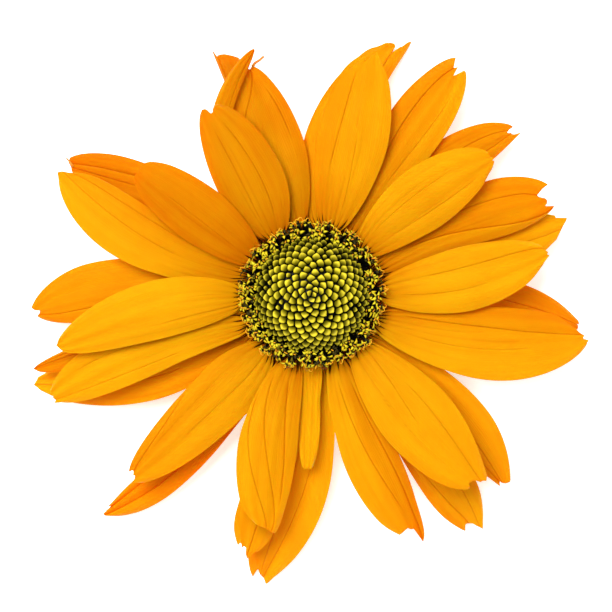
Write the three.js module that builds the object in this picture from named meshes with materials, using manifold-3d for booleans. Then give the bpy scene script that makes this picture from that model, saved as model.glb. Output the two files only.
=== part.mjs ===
// Ornamental sunflower: one flower head, picked with a stub of its stem and lying face up on a surface.
// Millimetres, +Z up. The stub's cut end and the lowest tips rest at z = 0.
import * as THREE from 'three';
import Module from 'manifold-3d';
import { ConvexHull } from 'three/addons/math/ConvexHull.js';
import { mergeVertices } from 'three/addons/utils/BufferGeometryUtils.js';

const wasm = await Module();
wasm.setup();

const DEG = Math.PI / 180;
const GOLDEN_ANGLE = 137.508 * DEG;

// Driving dimensions
const SEAT_GAP = 0.3;
const STEM = { radius: 3.2, height: 7.3, waist: 0.92, sides: 14 };
const RECEPTACLE = {
  radius: 11.1,
  neck: 3.4, // radius where the stem meets it
  floor: STEM.height + SEAT_GAP,
  shoulder: 9.9, // height at which it reaches its full radius
  top: 15.35,
  sides: 32,
};
const BRACTS = {
  perRow: 12,
  thickness: 0.7,
  root: 8.0, // distance from the axis at which they start inside the receptacle
  halfWidth: 2.1,
  along: [0, 0.4, 0.75, 1],
  widths: [0.8, 1, 0.7, 0.1],
  camber: 0.05,
  rows: [
    { turn: 0.25, height: 9.1, reach: 25.5, slope: -0.03, sag: 0.007 },
    { turn: 0.75, height: 8.5, reach: 22.5, slope: -0.16, sag: 0.009 },
  ],
};
const RAY = {
  root: RECEPTACLE.radius + SEAT_GAP, // distance of the claws from the axis
  claw: 1.5, // half width of the claw
  swell: 1.25, // how slowly the blade widens from its claw
  thickness: 0.68,
  lowestRoot: 10.4, // height of the claw in the lowest layer
  tierStep: 0.98, // height from one layer's claws to the next
  span: 43, // length of the longest blades
  lowestEnd: 1.12, // height to which the lowest layer has fallen at that length
  endStep: 2.85, // height from one layer to the next there
  lowestRise: 0.05, // slope with which the lowest claws leave the receptacle
  riseStep: 0.05, // how much steeper each layer leaves it
  camber: 0.016, // how fast the sides fall away from the middle, per mm
};
const PLATE = { radius: 11.0, floor: RECEPTACLE.top + SEAT_GAP, thickness: 1.0, sides: 32 };
const DOME = {
  radius: 9.7,
  floor: PLATE.floor + PLATE.thickness + SEAT_GAP,
  rim: 1.2, // height of its upright edge
  crown: 3.4, // rise from the edge to the middle
  buds: 210,
  reach: 0.955, // how far down the dome the last buds lie
  crowding: 1.08, // above 1 the buds are smaller in the middle
};
const BALL = (DOME.radius ** 2 + DOME.crown ** 2) / (2 * DOME.crown); // the ball that the dome is cut from
const BUD = { tip: 0.5, lean: 0.35, valley: 0.4, rimPoints: 46 };
const OPENING_BUDS = { count: 36, radius: 10.45, halfWidth: 0.42, height: 2.3, lean: 9 };
const FLORET = { lobes: 5, root: 0.9, tube: 0.36, throat: 0.5, notch: 0.5, lobe: 0.92, hollow: 0.35 };
const FLORET_VARIES = { length: 0.3, lean: 14, turn: 0.3, seed: 11 };
const FLORET_ROWS = [
  { count: 28, radius: 10.75, lean: 20, length: 2.5 },
  { count: 30, radius: 11.0, lean: 52, length: 2.8 },
];

// The rays, clockwise from the top of the head. root and tip are directions in degrees from +X towards +Y,
// reach is the distance of the tip from the axis, left and right are the half widths on either side of the
// middle, bow bends the middle line to the left, wide says how far out the blade is broadest, blunt how much
// of that width is left at the tip, and teeth how far the tip's edge stands out, from its left corner to its
// right one. A ray that rests reaches down to the surface below the head.
const RAYS = [
  { tier: 4.0, root: 73, tip: 76, reach: 44.8, bow: 0.0,
    left: 6.3, right: 6.5, wide: 0.52, blunt: 0.26, teeth: [-0.2, 0.3, -0.4, 0.2, -0.3, 0.4, -0.2] },
  { tier: 0.0, rests: true, root: 80, tip: 70.2, reach: 49.5, bow: 4.3,
    left: 5.2, right: 3.9, wide: 0.44, blunt: 0.32, teeth: [-3.2, -2.3, -3.6, -1.5, -1.9, -0.3, 0.7] },
  { tier: 2.0, root: 58, tip: 57, reach: 49.2, bow: 0.8,
    left: 5.3, right: 5.3, wide: 0.66, blunt: 0.3, teeth: [0.8, 0.3, -1.2, 0.2, -1.6, 0.3, 0.6] },
  { tier: 0.9, root: 44, tip: 39, reach: 47.8, bow: 2.2,
    left: 4.6, right: 4.1, wide: 0.62, blunt: 0.25, teeth: [0.0, 0.2, -1.1, 0.2, -0.4, 1.0, 0.0] },
  { tier: 4.0, root: 40, tip: 37, reach: 40.6, bow: 1.4,
    left: 5.8, right: 5.8, wide: 0.52, blunt: 0.3, teeth: [-0.2, 0.2, -0.2, 0.3, -0.2, 0.2, -0.3] },
  { tier: 2.0, root: 22, tip: 22.4, reach: 46.2, bow: 2.0,
    left: 5.0, right: 5.0, wide: 0.72, blunt: 0.42, teeth: [0.4, 0.2, -1.8, 0.1, -0.6, 0.9, 0.2] },
  { tier: 1.0, root: 17, tip: 15.7, reach: 46.8, bow: 0.2,
    left: 4.6, right: 4.6, wide: 0.7, blunt: 0.5, teeth: [-0.3, 0.9, 1.0, 0.4, 0.2, 0.1, -0.2] },
  { tier: 4.0, root: 3, tip: 10, reach: 42.4, bow: -1.3,
    left: 5.8, right: 5.8, wide: 0.52, blunt: 0.3, teeth: [-0.2, 0.1, 0.2, 0.5, 0.3, 0.1, -0.2] },
  { tier: 0.0, rests: true, root: -4, tip: -6.6, reach: 48.7, bow: 2.6,
    left: 3.6, right: 4.2, wide: 0.6, blunt: 0.22, teeth: [0.1, 0.1, -0.1, 0.3, 0.6, -0.3, 0.0] },
  { tier: 3.0, root: -21, tip: -8.5, reach: 49.8, bow: -2.6,
    left: 6.2, right: 6.9, wide: 0.55, blunt: 0.22, teeth: [-0.3, 0.1, -0.4, 0.3, 0.0, 0.8, 0.3] },
  { tier: 1.0, root: -38, tip: -43.8, reach: 48.8, bow: 2.1,
    left: 4.7, right: 4.0, wide: 0.68, blunt: 0.25, teeth: [0.2, 0.5, -0.2, -0.5, 0.4, 0.6, -0.2] },
  { tier: 4.0, root: -48, tip: -48.5, reach: 45.2, bow: -0.6,
    left: 6.9, right: 6.6, wide: 0.52, blunt: 0.3, teeth: [1.0, 0.6, -0.4, -0.9, -1.1, 0.5, 0.2] },
  { tier: 0.0, root: -56, tip: -55.3, reach: 51.2, bow: 1.1,
    left: 4.4, right: 4.0, wide: 0.78, blunt: 0.5, teeth: [0.2, 0.4, -0.8, -1.0, -0.8, 0.4, 0.1] },
  { tier: 2.5, root: -67, tip: -67.5, reach: 46.8, bow: -1.5,
    left: 5.0, right: 4.9, wide: 0.6, blunt: 0.35, teeth: [2.6, 1.6, -0.8, -0.9, -0.2, 0.1, -0.3] },
  { tier: 0.3, rests: true, root: -84, tip: -99.6, reach: 52.2, bow: 1.6,
    left: 5.9, right: 6.2, wide: 0.55, blunt: 0.22, teeth: [-0.6, 0.6, 0.9, -0.6, -1.9, 0.2, 0.6] },
  { tier: 3.0, root: -91, tip: -91.2, reach: 31.2, bow: 0.3,
    left: 2.0, right: 2.0, wide: 0.6, blunt: 0.6, teeth: [-0.2, 0.2, 0.1, 0.2, 0.1, 0.2, -0.2] },
  { tier: 2.0, root: -98, tip: -104, reach: 48.2, bow: 0.0,
    left: 3.7, right: 3.8, wide: 0.8, blunt: 0.5, teeth: [-0.6, -0.2, 0.7, -1.2, -1.4, -0.5, -0.3] },
  { tier: 4.0, root: -106, tip: -101.3, reach: 42.6, bow: -1.6,
    left: 5.0, right: 6.1, wide: 0.56, blunt: 0.35, teeth: [0.9, 0.6, 0.3, 0.1, -0.2, -0.2, -0.6] },
  { tier: 3.0, root: -131, tip: -134.5, reach: 45.8, bow: 0.4,
    left: 6.1, right: 5.3, wide: 0.36, blunt: 0.22, teeth: [-0.4, 0.1, 0.7, 0.5, -1.2, 0.4, 0.5] },
  { tier: 0.2, rests: true, root: -124, tip: -133.5, reach: 54.2, bow: 2.6,
    left: 3.7, right: 2.8, wide: 0.72, blunt: 0.3, teeth: [0.8, 0.6, 0.2, -1.0, -0.2, 0.3, 0.0] },
  { tier: 0.0, rests: true, root: -150, tip: -162.3, reach: 52.6, bow: 2.2,
    left: 5.9, right: 5.0, wide: 0.5, blunt: 0.25, teeth: [-0.4, 0.2, 0.5, 0.4, 0.3, 0.0, -0.6] },
  { tier: 1.5, root: -164, tip: -165.2, reach: 51.8, bow: -1.5,
    left: 3.4, right: 1.6, wide: 0.6, blunt: 0.1, teeth: [0.0, 0.1, 0.2, 0.4, 0.2, 0.1, 0.0] },
  { tier: 3.0, root: -156, tip: -158.5, reach: 50.0, bow: -2.1,
    left: 4.9, right: 4.9, wide: 0.6, blunt: 0.3, teeth: [0.5, 0.3, -0.2, 0.3, 0.0, 0.1, -0.2] },
  { tier: 4.4, root: -178, tip: -168.5, reach: 46.2, bow: -1.7,
    left: 5.0, right: 5.6, wide: 0.45, blunt: 0.15, teeth: [-0.1, 0.1, 0.3, 0.2, 0.2, 0.1, -0.1] },
  { tier: 1.0, root: 172, tip: -176.5, reach: 50.0, bow: -2.2,
    left: 5.0, right: 5.3, wide: 0.7, blunt: 0.2, teeth: [-0.3, 0.2, -0.4, -0.9, 0.7, 0.5, 0.0] },
  { tier: 3.3, root: 162, tip: 153.9, reach: 49.8, bow: 3.0,
    left: 5.8, right: 4.9, wide: 0.62, blunt: 0.22, teeth: [0.2, 0.3, 0.2, 0.2, -0.3, -0.6, -0.9] },
  { tier: 0.6, root: 136, tip: 151.9, reach: 49.7, bow: -1.4,
    left: 4.2, right: 4.4, wide: 0.74, blunt: 0.35, teeth: [-0.6, -0.3, -0.1, 0.0, 0.3, 0.6, 0.8] },
  { tier: 4.4, root: 147, tip: 144.4, reach: 38.0, bow: 0.0,
    left: 4.9, right: 5.5, wide: 0.5, blunt: 0.48, teeth: [-0.8, 0.0, 0.1, 0.2, 0.1, 0.0, -0.5] },
  { tier: 3.3, root: 123, tip: 119, reach: 38.2, bow: -0.8,
    left: 6.1, right: 6.2, wide: 0.45, blunt: 0.3, teeth: [0.0, 0.4, 0.3, -0.9, 0.2, 0.1, -0.2] },
  { tier: 1.1, root: 104, tip: 106.9, reach: 42.3, bow: 0.0,
    left: 7.0, right: 6.8, wide: 0.5, blunt: 0.24, teeth: [0.2, -0.8, 0.4, -0.9, 0.5, -0.6, 0.3] },
  { tier: 2.2, root: 118, tip: 102.9, reach: 45.0, bow: 8.4,
    left: 1.6, right: 1.6, wide: 0.7, blunt: 0.3, teeth: [-0.4, 0.1, 0.4, 0.6, 0.4, 0.0, -0.5] },
  { tier: 0.1, rests: true, root: 114, tip: 111.2, reach: 47.9, bow: -0.6,
    left: 1.0, right: 3.9, wide: 0.7, blunt: 0.8, teeth: [0.5, -0.6, -0.8, -1.1, -1.5, -2.0, -2.6] },
];

const RAY_COLUMNS = 6;
const RAY_ROWS = [0, 0.08, 0.2, 0.36, 0.54, 0.72, 0.89, 1];
const TEETH_FROM = 0.89; // where along the blade the notches of the tip end

const colours = {
  stem: 0x6f8f3a,
  involucre: 0x557a2c,
  disc_florets: 0xc9a81e,
  disc_buds: 0xb4a83a,
  ray: 0xf7a30c,
};

// Small sources of shape

function polar(radius, degrees) {
  return new THREE.Vector2(radius * Math.cos(degrees * DEG), radius * Math.sin(degrees * DEG));
}

function seeded(seed) {
  let state = seed;
  return () => {
    state = (state * 16807) % 2147483647;
    return state / 2147483647;
  };
}

function triangles(points, faces) {
  const geometry = new THREE.BufferGeometry();
  geometry.setAttribute('position', new THREE.Float32BufferAttribute(points.flat(), 3));
  geometry.setIndex(faces.flat());
  return geometry;
}

// A thin blade between two faces that are split into triangles alike. middle(u, v) gives a point half way
// through it, u along the blade from 0 to 1 and v across it from -1 on the right to 1 on the left.
function blade(middle, rows, columns, thickness) {
  const points = [];
  for (const side of [0.5, -0.5]) {
    for (const u of rows) {
      for (let j = 0; j <= columns; j += 1) {
        const [x, y, z] = middle(u, -1 + (2 * j) / columns);
        points.push([x, y, z + side * thickness]);
      }
    }
  }
  const under = points.length / 2;
  const at = (i, j) => i * (columns + 1) + j;
  const last = rows.length - 1;
  const faces = [];
  const wall = (a, b) => faces.push([a + under, b + under, b], [a + under, b, a]);
  for (let i = 0; i < last; i += 1) {
    for (let j = 0; j < columns; j += 1) {
      const [a, b, c, d] = [at(i, j), at(i + 1, j), at(i + 1, j + 1), at(i, j + 1)];
      faces.push([a, b, c], [a, c, d], [a + under, c + under, b + under], [a + under, d + under, c + under]);
    }
    wall(at(i, 0), at(i + 1, 0));
    wall(at(i + 1, columns), at(i, columns));
  }
  for (let j = 0; j < columns; j += 1) {
    wall(at(last, j), at(last, j + 1));
    wall(at(0, j + 1), at(0, j));
  }
  return triangles(points, faces);
}

// Joining closed shapes into one body

function solid(geometry) {
  const bare = geometry.clone();
  bare.deleteAttribute('normal');
  bare.deleteAttribute('uv');
  const welded = mergeVertices(bare, 1e-5);
  const vertProperties = new Float32Array(welded.attributes.position.array);
  const triVerts = new Uint32Array(welded.index.array);
  return new wasm.Manifold(new wasm.Mesh({ numProp: 3, vertProperties, triVerts }));
}

function joined(solids) {
  let rest = solids;
  while (rest.length > 1) {
    const pairs = [];
    for (let i = 0; i < rest.length; i += 2) {
      pairs.push(i + 1 < rest.length ? rest[i].add(rest[i + 1]) : rest[i]);
    }
    rest = pairs;
  }
  const { vertProperties, triVerts } = rest[0].getMesh();
  const geometry = new THREE.BufferGeometry();
  geometry.setAttribute('position', new THREE.BufferAttribute(new Float32Array(vertProperties), 3));
  geometry.setIndex(new THREE.BufferAttribute(new Uint32Array(triVerts), 1));
  return geometry;
}

function turned(profile, sides) {
  const geometry = new THREE.LatheGeometry(profile.map(([r, z]) => new THREE.Vector2(r, z)), sides);
  return geometry.rotateX(Math.PI / 2);
}

// Stem and involucre

function stemGeometry() {
  const { radius, height, waist } = STEM;
  return turned([[0, 0], [radius, 0], [radius * waist, height * 0.45], [radius * 1.05, height], [0, height]],
    STEM.sides);
}

function bract(row, direction) {
  const length = row.reach - BRACTS.root;
  const middle = (u, v) => {
    const out = u * length;
    const across = v * BRACTS.halfWidth * BRACTS.widths[BRACTS.along.indexOf(u)];
    const fall = row.sag * out ** 2 + BRACTS.camber * across ** 2;
    return [BRACTS.root + out, across, row.height + row.slope * out - fall];
  };
  return blade(middle, BRACTS.along, 2, BRACTS.thickness).rotateZ(direction);
}

function involucreGeometry() {
  const { radius, neck, floor, shoulder, top, sides } = RECEPTACLE;
  const flank = [[neck * 2, floor + 0.3], [radius - 1.2, shoulder - 0.9], [radius, shoulder]];
  const rim = [[radius, top - 0.3], [radius - 0.4, top]];
  const parts = [solid(turned([[0, floor], [neck, floor], ...flank, ...rim, [0, top]], sides))];
  const step = (2 * Math.PI) / BRACTS.perRow;
  for (const row of BRACTS.rows) {
    for (let i = 0; i < BRACTS.perRow; i += 1) parts.push(solid(bract(row, (i + row.turn) * step)));
  }
  return joined(parts);
}

// Rays

function halfWidth(ray, u, side) {
  const broadest = side > 0 ? ray.left : ray.right;
  if (u <= ray.wide) {
    return RAY.claw + (broadest - RAY.claw) * Math.sin((Math.PI / 2) * (u / ray.wide)) ** RAY.swell;
  }
  const past = (u - ray.wide) / (1 - ray.wide);
  return broadest * Math.sqrt(1 - (1 - ray.blunt ** 2) * past ** 2);
}

function toothAt(ray, u, v) {
  const tooth = ray.teeth[Math.round(((1 - v) / 2) * RAY_COLUMNS)];
  return tooth * THREE.MathUtils.clamp((u - TEETH_FROM) / (1 - TEETH_FROM), 0, 1);
}

function rayMiddle(ray) {
  const root = polar(RAY.root, ray.root);
  const along = polar(ray.reach, ray.tip).sub(root);
  const length = along.length();
  along.normalize();
  const left = new THREE.Vector2(-along.y, along.x);
  const rootHeight = RAY.lowestRoot + RAY.tierStep * ray.tier;
  const rise = RAY.lowestRise + RAY.riseStep * ray.tier;
  const span = ray.rests ? length : RAY.span;
  const endHeight = ray.rests ? RAY.lowestEnd : RAY.lowestEnd + RAY.endStep * ray.tier;
  const fall = (rootHeight + rise * span - endHeight) / span ** 2;
  return (u, v) => {
    const across = v * halfWidth(ray, u, v);
    const turn = Math.atan((4 * ray.bow * (1 - 2 * u)) / length);
    const forward = along.clone().rotateAround(new THREE.Vector2(), turn);
    const sideways = new THREE.Vector2(-forward.y, forward.x);
    const tooth = toothAt(ray, u, v);
    const place = root.clone().addScaledVector(along, u * length);
    place.addScaledVector(left, 4 * ray.bow * u * (1 - u));
    place.addScaledVector(sideways, across).addScaledVector(forward, tooth);
    if (u === 0) place.setLength(RAY.root);
    const out = u * length + tooth;
    const height = rootHeight + rise * out - fall * out ** 2 - RAY.camber * across ** 2;
    return [place.x, place.y, height];
  };
}

// Disc

// The closed buds lie on the dome at golden-angle steps, each with its share of the dome's surface. A hull over
// their places says which buds are neighbours, and each bud then rises, leaning to the middle, from the low
// corners that it shares with them.
function budPlaces() {
  const places = [];
  const steepest = Math.asin(DOME.radius / BALL) * DOME.reach;
  const centre = DOME.floor + DOME.rim + DOME.crown - BALL;
  for (let n = 0; n < DOME.buds; n += 1) {
    const share = ((n + 0.5) / DOME.buds) ** DOME.crowding;
    const slant = Math.acos(1 - (1 - Math.cos(steepest)) * share);
    const radius = BALL * Math.sin(slant);
    const turn = n * GOLDEN_ANGLE;
    const height = centre + BALL * Math.cos(slant);
    places.push(new THREE.Vector3(radius * Math.cos(turn), radius * Math.sin(turn), height));
  }
  for (let i = 0; i < BUD.rimPoints; i += 1) {
    const turn = (i / BUD.rimPoints) * 2 * Math.PI;
    const [x, y] = [DOME.radius * Math.cos(turn), DOME.radius * Math.sin(turn)];
    places.push(new THREE.Vector3(x, y, DOME.floor + DOME.rim));
  }
  return places;
}

function budTip(place) {
  const out = Math.hypot(place.x, place.y) / DOME.radius;
  const tip = place.clone();
  tip.z += BUD.tip;
  tip.x *= 1 - (BUD.lean * out) / DOME.radius;
  tip.y *= 1 - (BUD.lean * out) / DOME.radius;
  return tip;
}

function budsGeometry() {
  const places = budPlaces();
  const number = new Map(places.map((place, i) => [place, i]));
  const points = places.map((place, i) => (i < DOME.buds ? budTip(place) : place).toArray());
  const { faces: cells } = new ConvexHull().setFromPoints(places);
  const valley = new Map();
  for (const cell of cells.filter((face) => face.normal.z > 0.05)) {
    const low = cell.midpoint;
    valley.set(cell, points.length);
    points.push([low.x, low.y, low.z - BUD.valley]);
  }
  const faces = [];
  const rim = [];
  for (const [cell, low] of valley) {
    for (const edge of [cell.getEdge(0), cell.getEdge(1), cell.getEdge(2)]) {
      const [from, to] = [number.get(edge.tail().point), number.get(edge.head().point)];
      const across = valley.get(edge.twin.face);
      if (across === undefined) {
        faces.push([from, to, low]);
        rim.push([from, to]);
      } else {
        faces.push([from, across, low]);
      }
    }
  }
  const floor = points.length;
  for (let i = 0; i < BUD.rimPoints; i += 1) {
    const [x, y] = places[DOME.buds + i].toArray();
    points.push([x, y, DOME.floor]);
  }
  const middle = points.push([0, 0, DOME.floor]) - 1;
  const under = (i) => i - DOME.buds + floor;
  for (const [from, to] of rim) {
    faces.push([from, under(from), under(to)], [from, under(to), to], [under(to), under(from), middle]);
  }
  return triangles(points, faces);
}

// An open disc floret: a tube that flares into a mouth with five pointed lobes.
function floret(length) {
  const { lobes, root, tube, throat, notch, lobe, hollow } = FLORET;
  const points = [[0, 0, -root]];
  for (let i = 0; i < lobes; i += 1) {
    const turn = (i / lobes) * 2 * Math.PI;
    points.push([tube * Math.cos(turn), tube * Math.sin(turn), length * throat]);
  }
  for (let i = 0; i < lobes * 2; i += 1) {
    const turn = (i / (lobes * 2)) * 2 * Math.PI;
    const reach = i % 2 ? notch : lobe;
    points.push([reach * Math.cos(turn), reach * Math.sin(turn), length]);
  }
  const mouth = points.push([0, 0, length - hollow]) - 1;
  const faces = [];
  for (let i = 0; i < lobes; i += 1) {
    const [a, b] = [1 + i, 1 + ((i + 1) % lobes)];
    const first = 1 + lobes;
    const [tip, dip, next] = [first + 2 * i, first + 2 * i + 1, first + ((2 * i + 2) % (2 * lobes))];
    faces.push([0, b, a], [a, dip, tip], [a, b, dip], [b, next, dip], [tip, dip, mouth], [dip, next, mouth]);
  }
  return triangles(points, faces);
}

function openingBud() {
  const { halfWidth, height, lean } = OPENING_BUDS;
  const cone = new THREE.ConeGeometry(halfWidth, height, 5, 1).rotateX(Math.PI / 2);
  return cone.translate(0, 0, height * 0.3).rotateY(lean * DEG);
}

function floretsGeometry() {
  const { radius, floor, thickness, sides } = PLATE;
  const top = floor + thickness;
  const parts = [solid(turned([[0, floor], [radius, floor], [radius, top], [0, top]], sides))];
  const stand = (shape, distance, turn) => {
    parts.push(solid(shape.translate(distance, 0, top).rotateZ(turn * 2 * Math.PI)));
  };
  for (let i = 0; i < OPENING_BUDS.count; i += 1) {
    stand(openingBud(), OPENING_BUDS.radius, i / OPENING_BUDS.count);
  }
  const draw = seeded(FLORET_VARIES.seed);
  for (const row of FLORET_ROWS) {
    for (let i = 0; i < row.count; i += 1) {
      const shape = floret(row.length * (1 + FLORET_VARIES.length * (draw() - 0.5)));
      const lean = row.lean + FLORET_VARIES.lean * (draw() - 0.5);
      shape.rotateZ(draw() * 2 * Math.PI).rotateY(lean * DEG);
      stand(shape, row.radius, (i + FLORET_VARIES.turn * draw()) / row.count);
    }
  }
  return joined(parts);
}

// The head

function piece(name, geometry, colour, roughness) {
  const material = new THREE.MeshStandardMaterial({ color: colour, roughness, metalness: 0 });
  const mesh = new THREE.Mesh(geometry, material);
  mesh.name = name;
  return mesh;
}

const head = new THREE.Group();
head.add(piece('stem', stemGeometry(), colours.stem, 0.7));
head.add(piece('involucre', involucreGeometry(), colours.involucre, 0.75));
head.add(piece('disc_florets', floretsGeometry(), colours.disc_florets, 0.6));
head.add(piece('disc_buds', budsGeometry(), colours.disc_buds, 0.55));
RAYS.forEach((ray, i) => {
  const name = `ray_${String(i + 1).padStart(2, '0')}`;
  const petal = blade(rayMiddle(ray), RAY_ROWS, RAY_COLUMNS, RAY.thickness);
  head.add(piece(name, petal, colours.ray, 0.5));
});

// The origin is under the middle of the head's own box.
const box = new THREE.Box3().setFromObject(head);
head.position.set(-(box.min.x + box.max.x) / 2, -(box.min.y + box.max.y) / 2, -box.min.z);

const flower = new THREE.Group();
flower.add(head);

export default flower;
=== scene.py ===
# %% [markdown]
# # An ornamental sunflower, seen from above
#
# The object is one cut flower head: 32 ray petals in loose layers round a domed disc of closed buds, with a
# ring of open florets between them. The solid model gives the size and place of every part. This lesson
# dresses it: each solid is replaced by a finer mesh of the same form, and each finish is built from shader
# nodes.
#
# First the solid model is loaded.

# %% Load the frame
import math

import bpy
import numpy as np
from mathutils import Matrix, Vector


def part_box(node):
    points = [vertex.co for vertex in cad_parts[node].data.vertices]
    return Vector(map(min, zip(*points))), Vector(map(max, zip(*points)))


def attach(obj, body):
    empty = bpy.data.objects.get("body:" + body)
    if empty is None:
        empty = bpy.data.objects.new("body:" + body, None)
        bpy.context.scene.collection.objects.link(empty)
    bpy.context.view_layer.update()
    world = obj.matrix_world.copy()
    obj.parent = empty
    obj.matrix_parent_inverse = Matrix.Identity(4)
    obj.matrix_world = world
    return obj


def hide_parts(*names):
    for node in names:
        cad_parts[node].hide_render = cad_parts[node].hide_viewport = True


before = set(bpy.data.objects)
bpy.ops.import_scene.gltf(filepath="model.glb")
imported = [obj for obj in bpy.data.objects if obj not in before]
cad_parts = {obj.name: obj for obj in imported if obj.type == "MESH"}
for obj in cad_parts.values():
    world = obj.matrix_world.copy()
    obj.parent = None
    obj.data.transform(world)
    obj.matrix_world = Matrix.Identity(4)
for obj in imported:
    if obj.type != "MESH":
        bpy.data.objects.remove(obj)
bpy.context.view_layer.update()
scene = bpy.context.scene
print("the frame holds", len(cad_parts), "solids")

# %% Lengths
MM = 0.001
stem_low, stem_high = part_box("stem")
AXIS = ((stem_low.x + stem_high.x) / 2, (stem_low.y + stem_high.y) / 2, 0)
print("the flower's axis stands at", [round(place / MM, 2) for place in AXIS], "mm")

# %% [markdown]
# ## Camera, floor and light
#
# The flower is looked at from straight above. A long lens from nearly a metre away keeps the high petals
# and the low ones at the same scale, as in the photograph. The floor is plain and pale. The light is a
# bright, even sky with one large soft lamp: petals are thin, and hard light would make their edges too
# sharp.

# %% The camera
PICTURE_WIDTH = 110.16 * MM
PETAL_LEVEL = 13 * MM
AIM = (AXIS[0] - 0.99 * MM, AXIS[1] - 1.98 * MM)
CAMERA_DISTANCE = 0.9

camera_data = bpy.data.cameras.new("camera")
camera_data.lens = camera_data.sensor_width * CAMERA_DISTANCE / PICTURE_WIDTH
camera_data.clip_end = 20
camera = bpy.data.objects.new("camera", camera_data)
camera.location = (*AIM, PETAL_LEVEL + CAMERA_DISTANCE)
scene.collection.objects.link(camera)
scene.camera = camera
scene.view_settings.view_transform = "Standard"
print("lens", round(camera_data.lens), "mm")

# %% The lights
SKY = 0.79
LAMP = {"size": 0.6, "power": 23.5, "place": (-0.3, 0.32, 1.18)}

world = bpy.data.worlds.new("sky")
world.use_nodes = True
world.node_tree.nodes["Background"].inputs["Color"].default_value = (1, 1, 1, 1)
world.node_tree.nodes["Background"].inputs["Strength"].default_value = SKY
scene.world = world

lamp_data = bpy.data.lights.new("lamp", "AREA")
lamp_data.size = LAMP["size"]
lamp_data.energy = LAMP["power"]
lamp = bpy.data.objects.new("lamp", lamp_data)
lamp.location = LAMP["place"]
toward_flower = -lamp.location
lamp.rotation_euler = toward_flower.to_track_quat("-Z", "Y").to_euler()
scene.collection.objects.link(lamp)
print("one lamp,", LAMP["size"], "m across")

# %% [markdown]
# ## Small tools for shader nodes
#
# Every finish here is a small network of nodes. A few helpers keep the networks short: one puts a node into
# a tree and fills its sockets, others do sums, ease a value or blend two colours, and the last feeds the
# result to the shader. Colours are written as they look on a screen, from 0 to 255, and turned into the
# linear light that Blender works in.

# %% Helpers for nodes
def tint(red, green, blue):
    """A colour as it looks on a screen, as the linear colour that nodes take."""
    return tuple((part / 255) ** 2.2 for part in (red, green, blue)) + (1,)


def put(tree, kind, inputs=None, **settings):
    """Adds a node to a tree. A socket given as an input is linked, and a number or colour is set."""
    node = tree.nodes.new("ShaderNode" + kind)
    for name, value in settings.items():
        setattr(node, name, value)
    for key, value in (inputs or {}).items():
        if isinstance(value, bpy.types.NodeSocket):
            tree.links.new(value, node.inputs[key])
        else:
            node.inputs[key].default_value = value
    return node


def sums(tree, operation, *values, clamp=False):
    return put(tree, "Math", dict(enumerate(values)), operation=operation, use_clamp=clamp).outputs[0]


def eased(tree, value, low, high, start=0.0, end=1.0):
    """Goes smoothly from start to end while value goes from low to high."""
    ends = {"Value": value, "From Min": low, "From Max": high, "To Min": start, "To Max": end}
    return put(tree, "MapRange", ends, interpolation_type="SMOOTHSTEP").outputs["Result"]


FACTOR, FIRST, SECOND, BLENDED = 0, 6, 7, 2  # sockets of a Mix node that blends colours


def blended(tree, part, first, second, way="MIX"):
    sockets = {FACTOR: part, FIRST: first, SECOND: second}
    return put(tree, "Mix", sockets, data_type="RGBA", blend_type=way).outputs[BLENDED]


def own_value(tree, name):
    """A value that the mesh carries at each of its points."""
    return put(tree, "Attribute", attribute_name=name).outputs["Fac"]


def new_finish(name, **settings):
    """A material with a Principled BSDF, whose constant sockets are set by name."""
    finish = bpy.data.materials.new(name)
    finish.use_nodes = True
    shader = finish.node_tree.nodes["Principled BSDF"]
    for key, value in settings.items():
        shader.inputs[key.replace("_", " ")].default_value = value
    return finish, finish.node_tree, shader


def feed(tree, shader, **ends):
    """Links the ends of a network to the shader's sockets of those names."""
    for key, end in ends.items():
        tree.links.new(end, shader.inputs[key.replace("_", " ")])


# %% Helpers for node groups
def new_group(name, numbers, results):
    """An empty node group with number inputs, given as name and usual value, and number outputs."""
    group = bpy.data.node_groups.new(name, "ShaderNodeTree")
    for key, usual in numbers.items():
        group.interface.new_socket(key, in_out="INPUT", socket_type="NodeSocketFloat").default_value = usual
    for key in results:
        group.interface.new_socket(key, in_out="OUTPUT", socket_type="NodeSocketFloat")
    taken = group.nodes.new("NodeGroupInput").outputs
    given = group.nodes.new("NodeGroupOutput").inputs
    return group, taken, given


def use_group(tree, group, **numbers):
    return put(tree, "Group", numbers, node_tree=group).outputs


# %% [markdown]
# ## Two effects that several finishes share
#
# No part of a plant has one even colour. *Mottle* is a soft cloud of lighter and darker patches, for
# petals, buds, leaves and stem. *Ribs* are the fine lines that run along a blade or a stem. They follow a
# value that the mesh carries from one side of the piece to the other, so that they narrow where the blade
# narrows.

# %% The group for mottle
mottle, taken, given = new_group("Mottle", {"Scale": 200, "Detail": 3}, ["Cloud"])
where = put(mottle, "TexCoord").outputs["Object"]
cloud = put(mottle, "TexNoise", {"Vector": where, "Scale": taken["Scale"], "Detail": taken["Detail"]})
mottle.links.new(eased(mottle, cloud.outputs["Fac"], 0.3, 0.7), given["Cloud"])

# %% The group for ribs
ribs, taken, given = new_group("Ribs", {"Across": 0, "Along": 0, "Count": 12, "Wander": 0.5}, ["Line"])
place = put(ribs, "CombineXYZ", {"X": taken["Across"], "Y": taken["Along"]}).outputs["Vector"]
bend = put(ribs, "TexNoise", {"Vector": place, "Scale": 2.2, "Detail": 2}).outputs["Fac"]
bend = sums(ribs, "MULTIPLY", bend, taken["Wander"])
turns = sums(ribs, "MULTIPLY", sums(ribs, "ADD", taken["Across"], bend), taken["Count"])
wave = sums(ribs, "SINE", sums(ribs, "MULTIPLY", turns, math.pi))
ribs.links.new(sums(ribs, "POWER", sums(ribs, "ABSOLUTE", wave), 0.5), given["Line"])
print("groups:", mottle.name, ribs.name)


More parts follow.
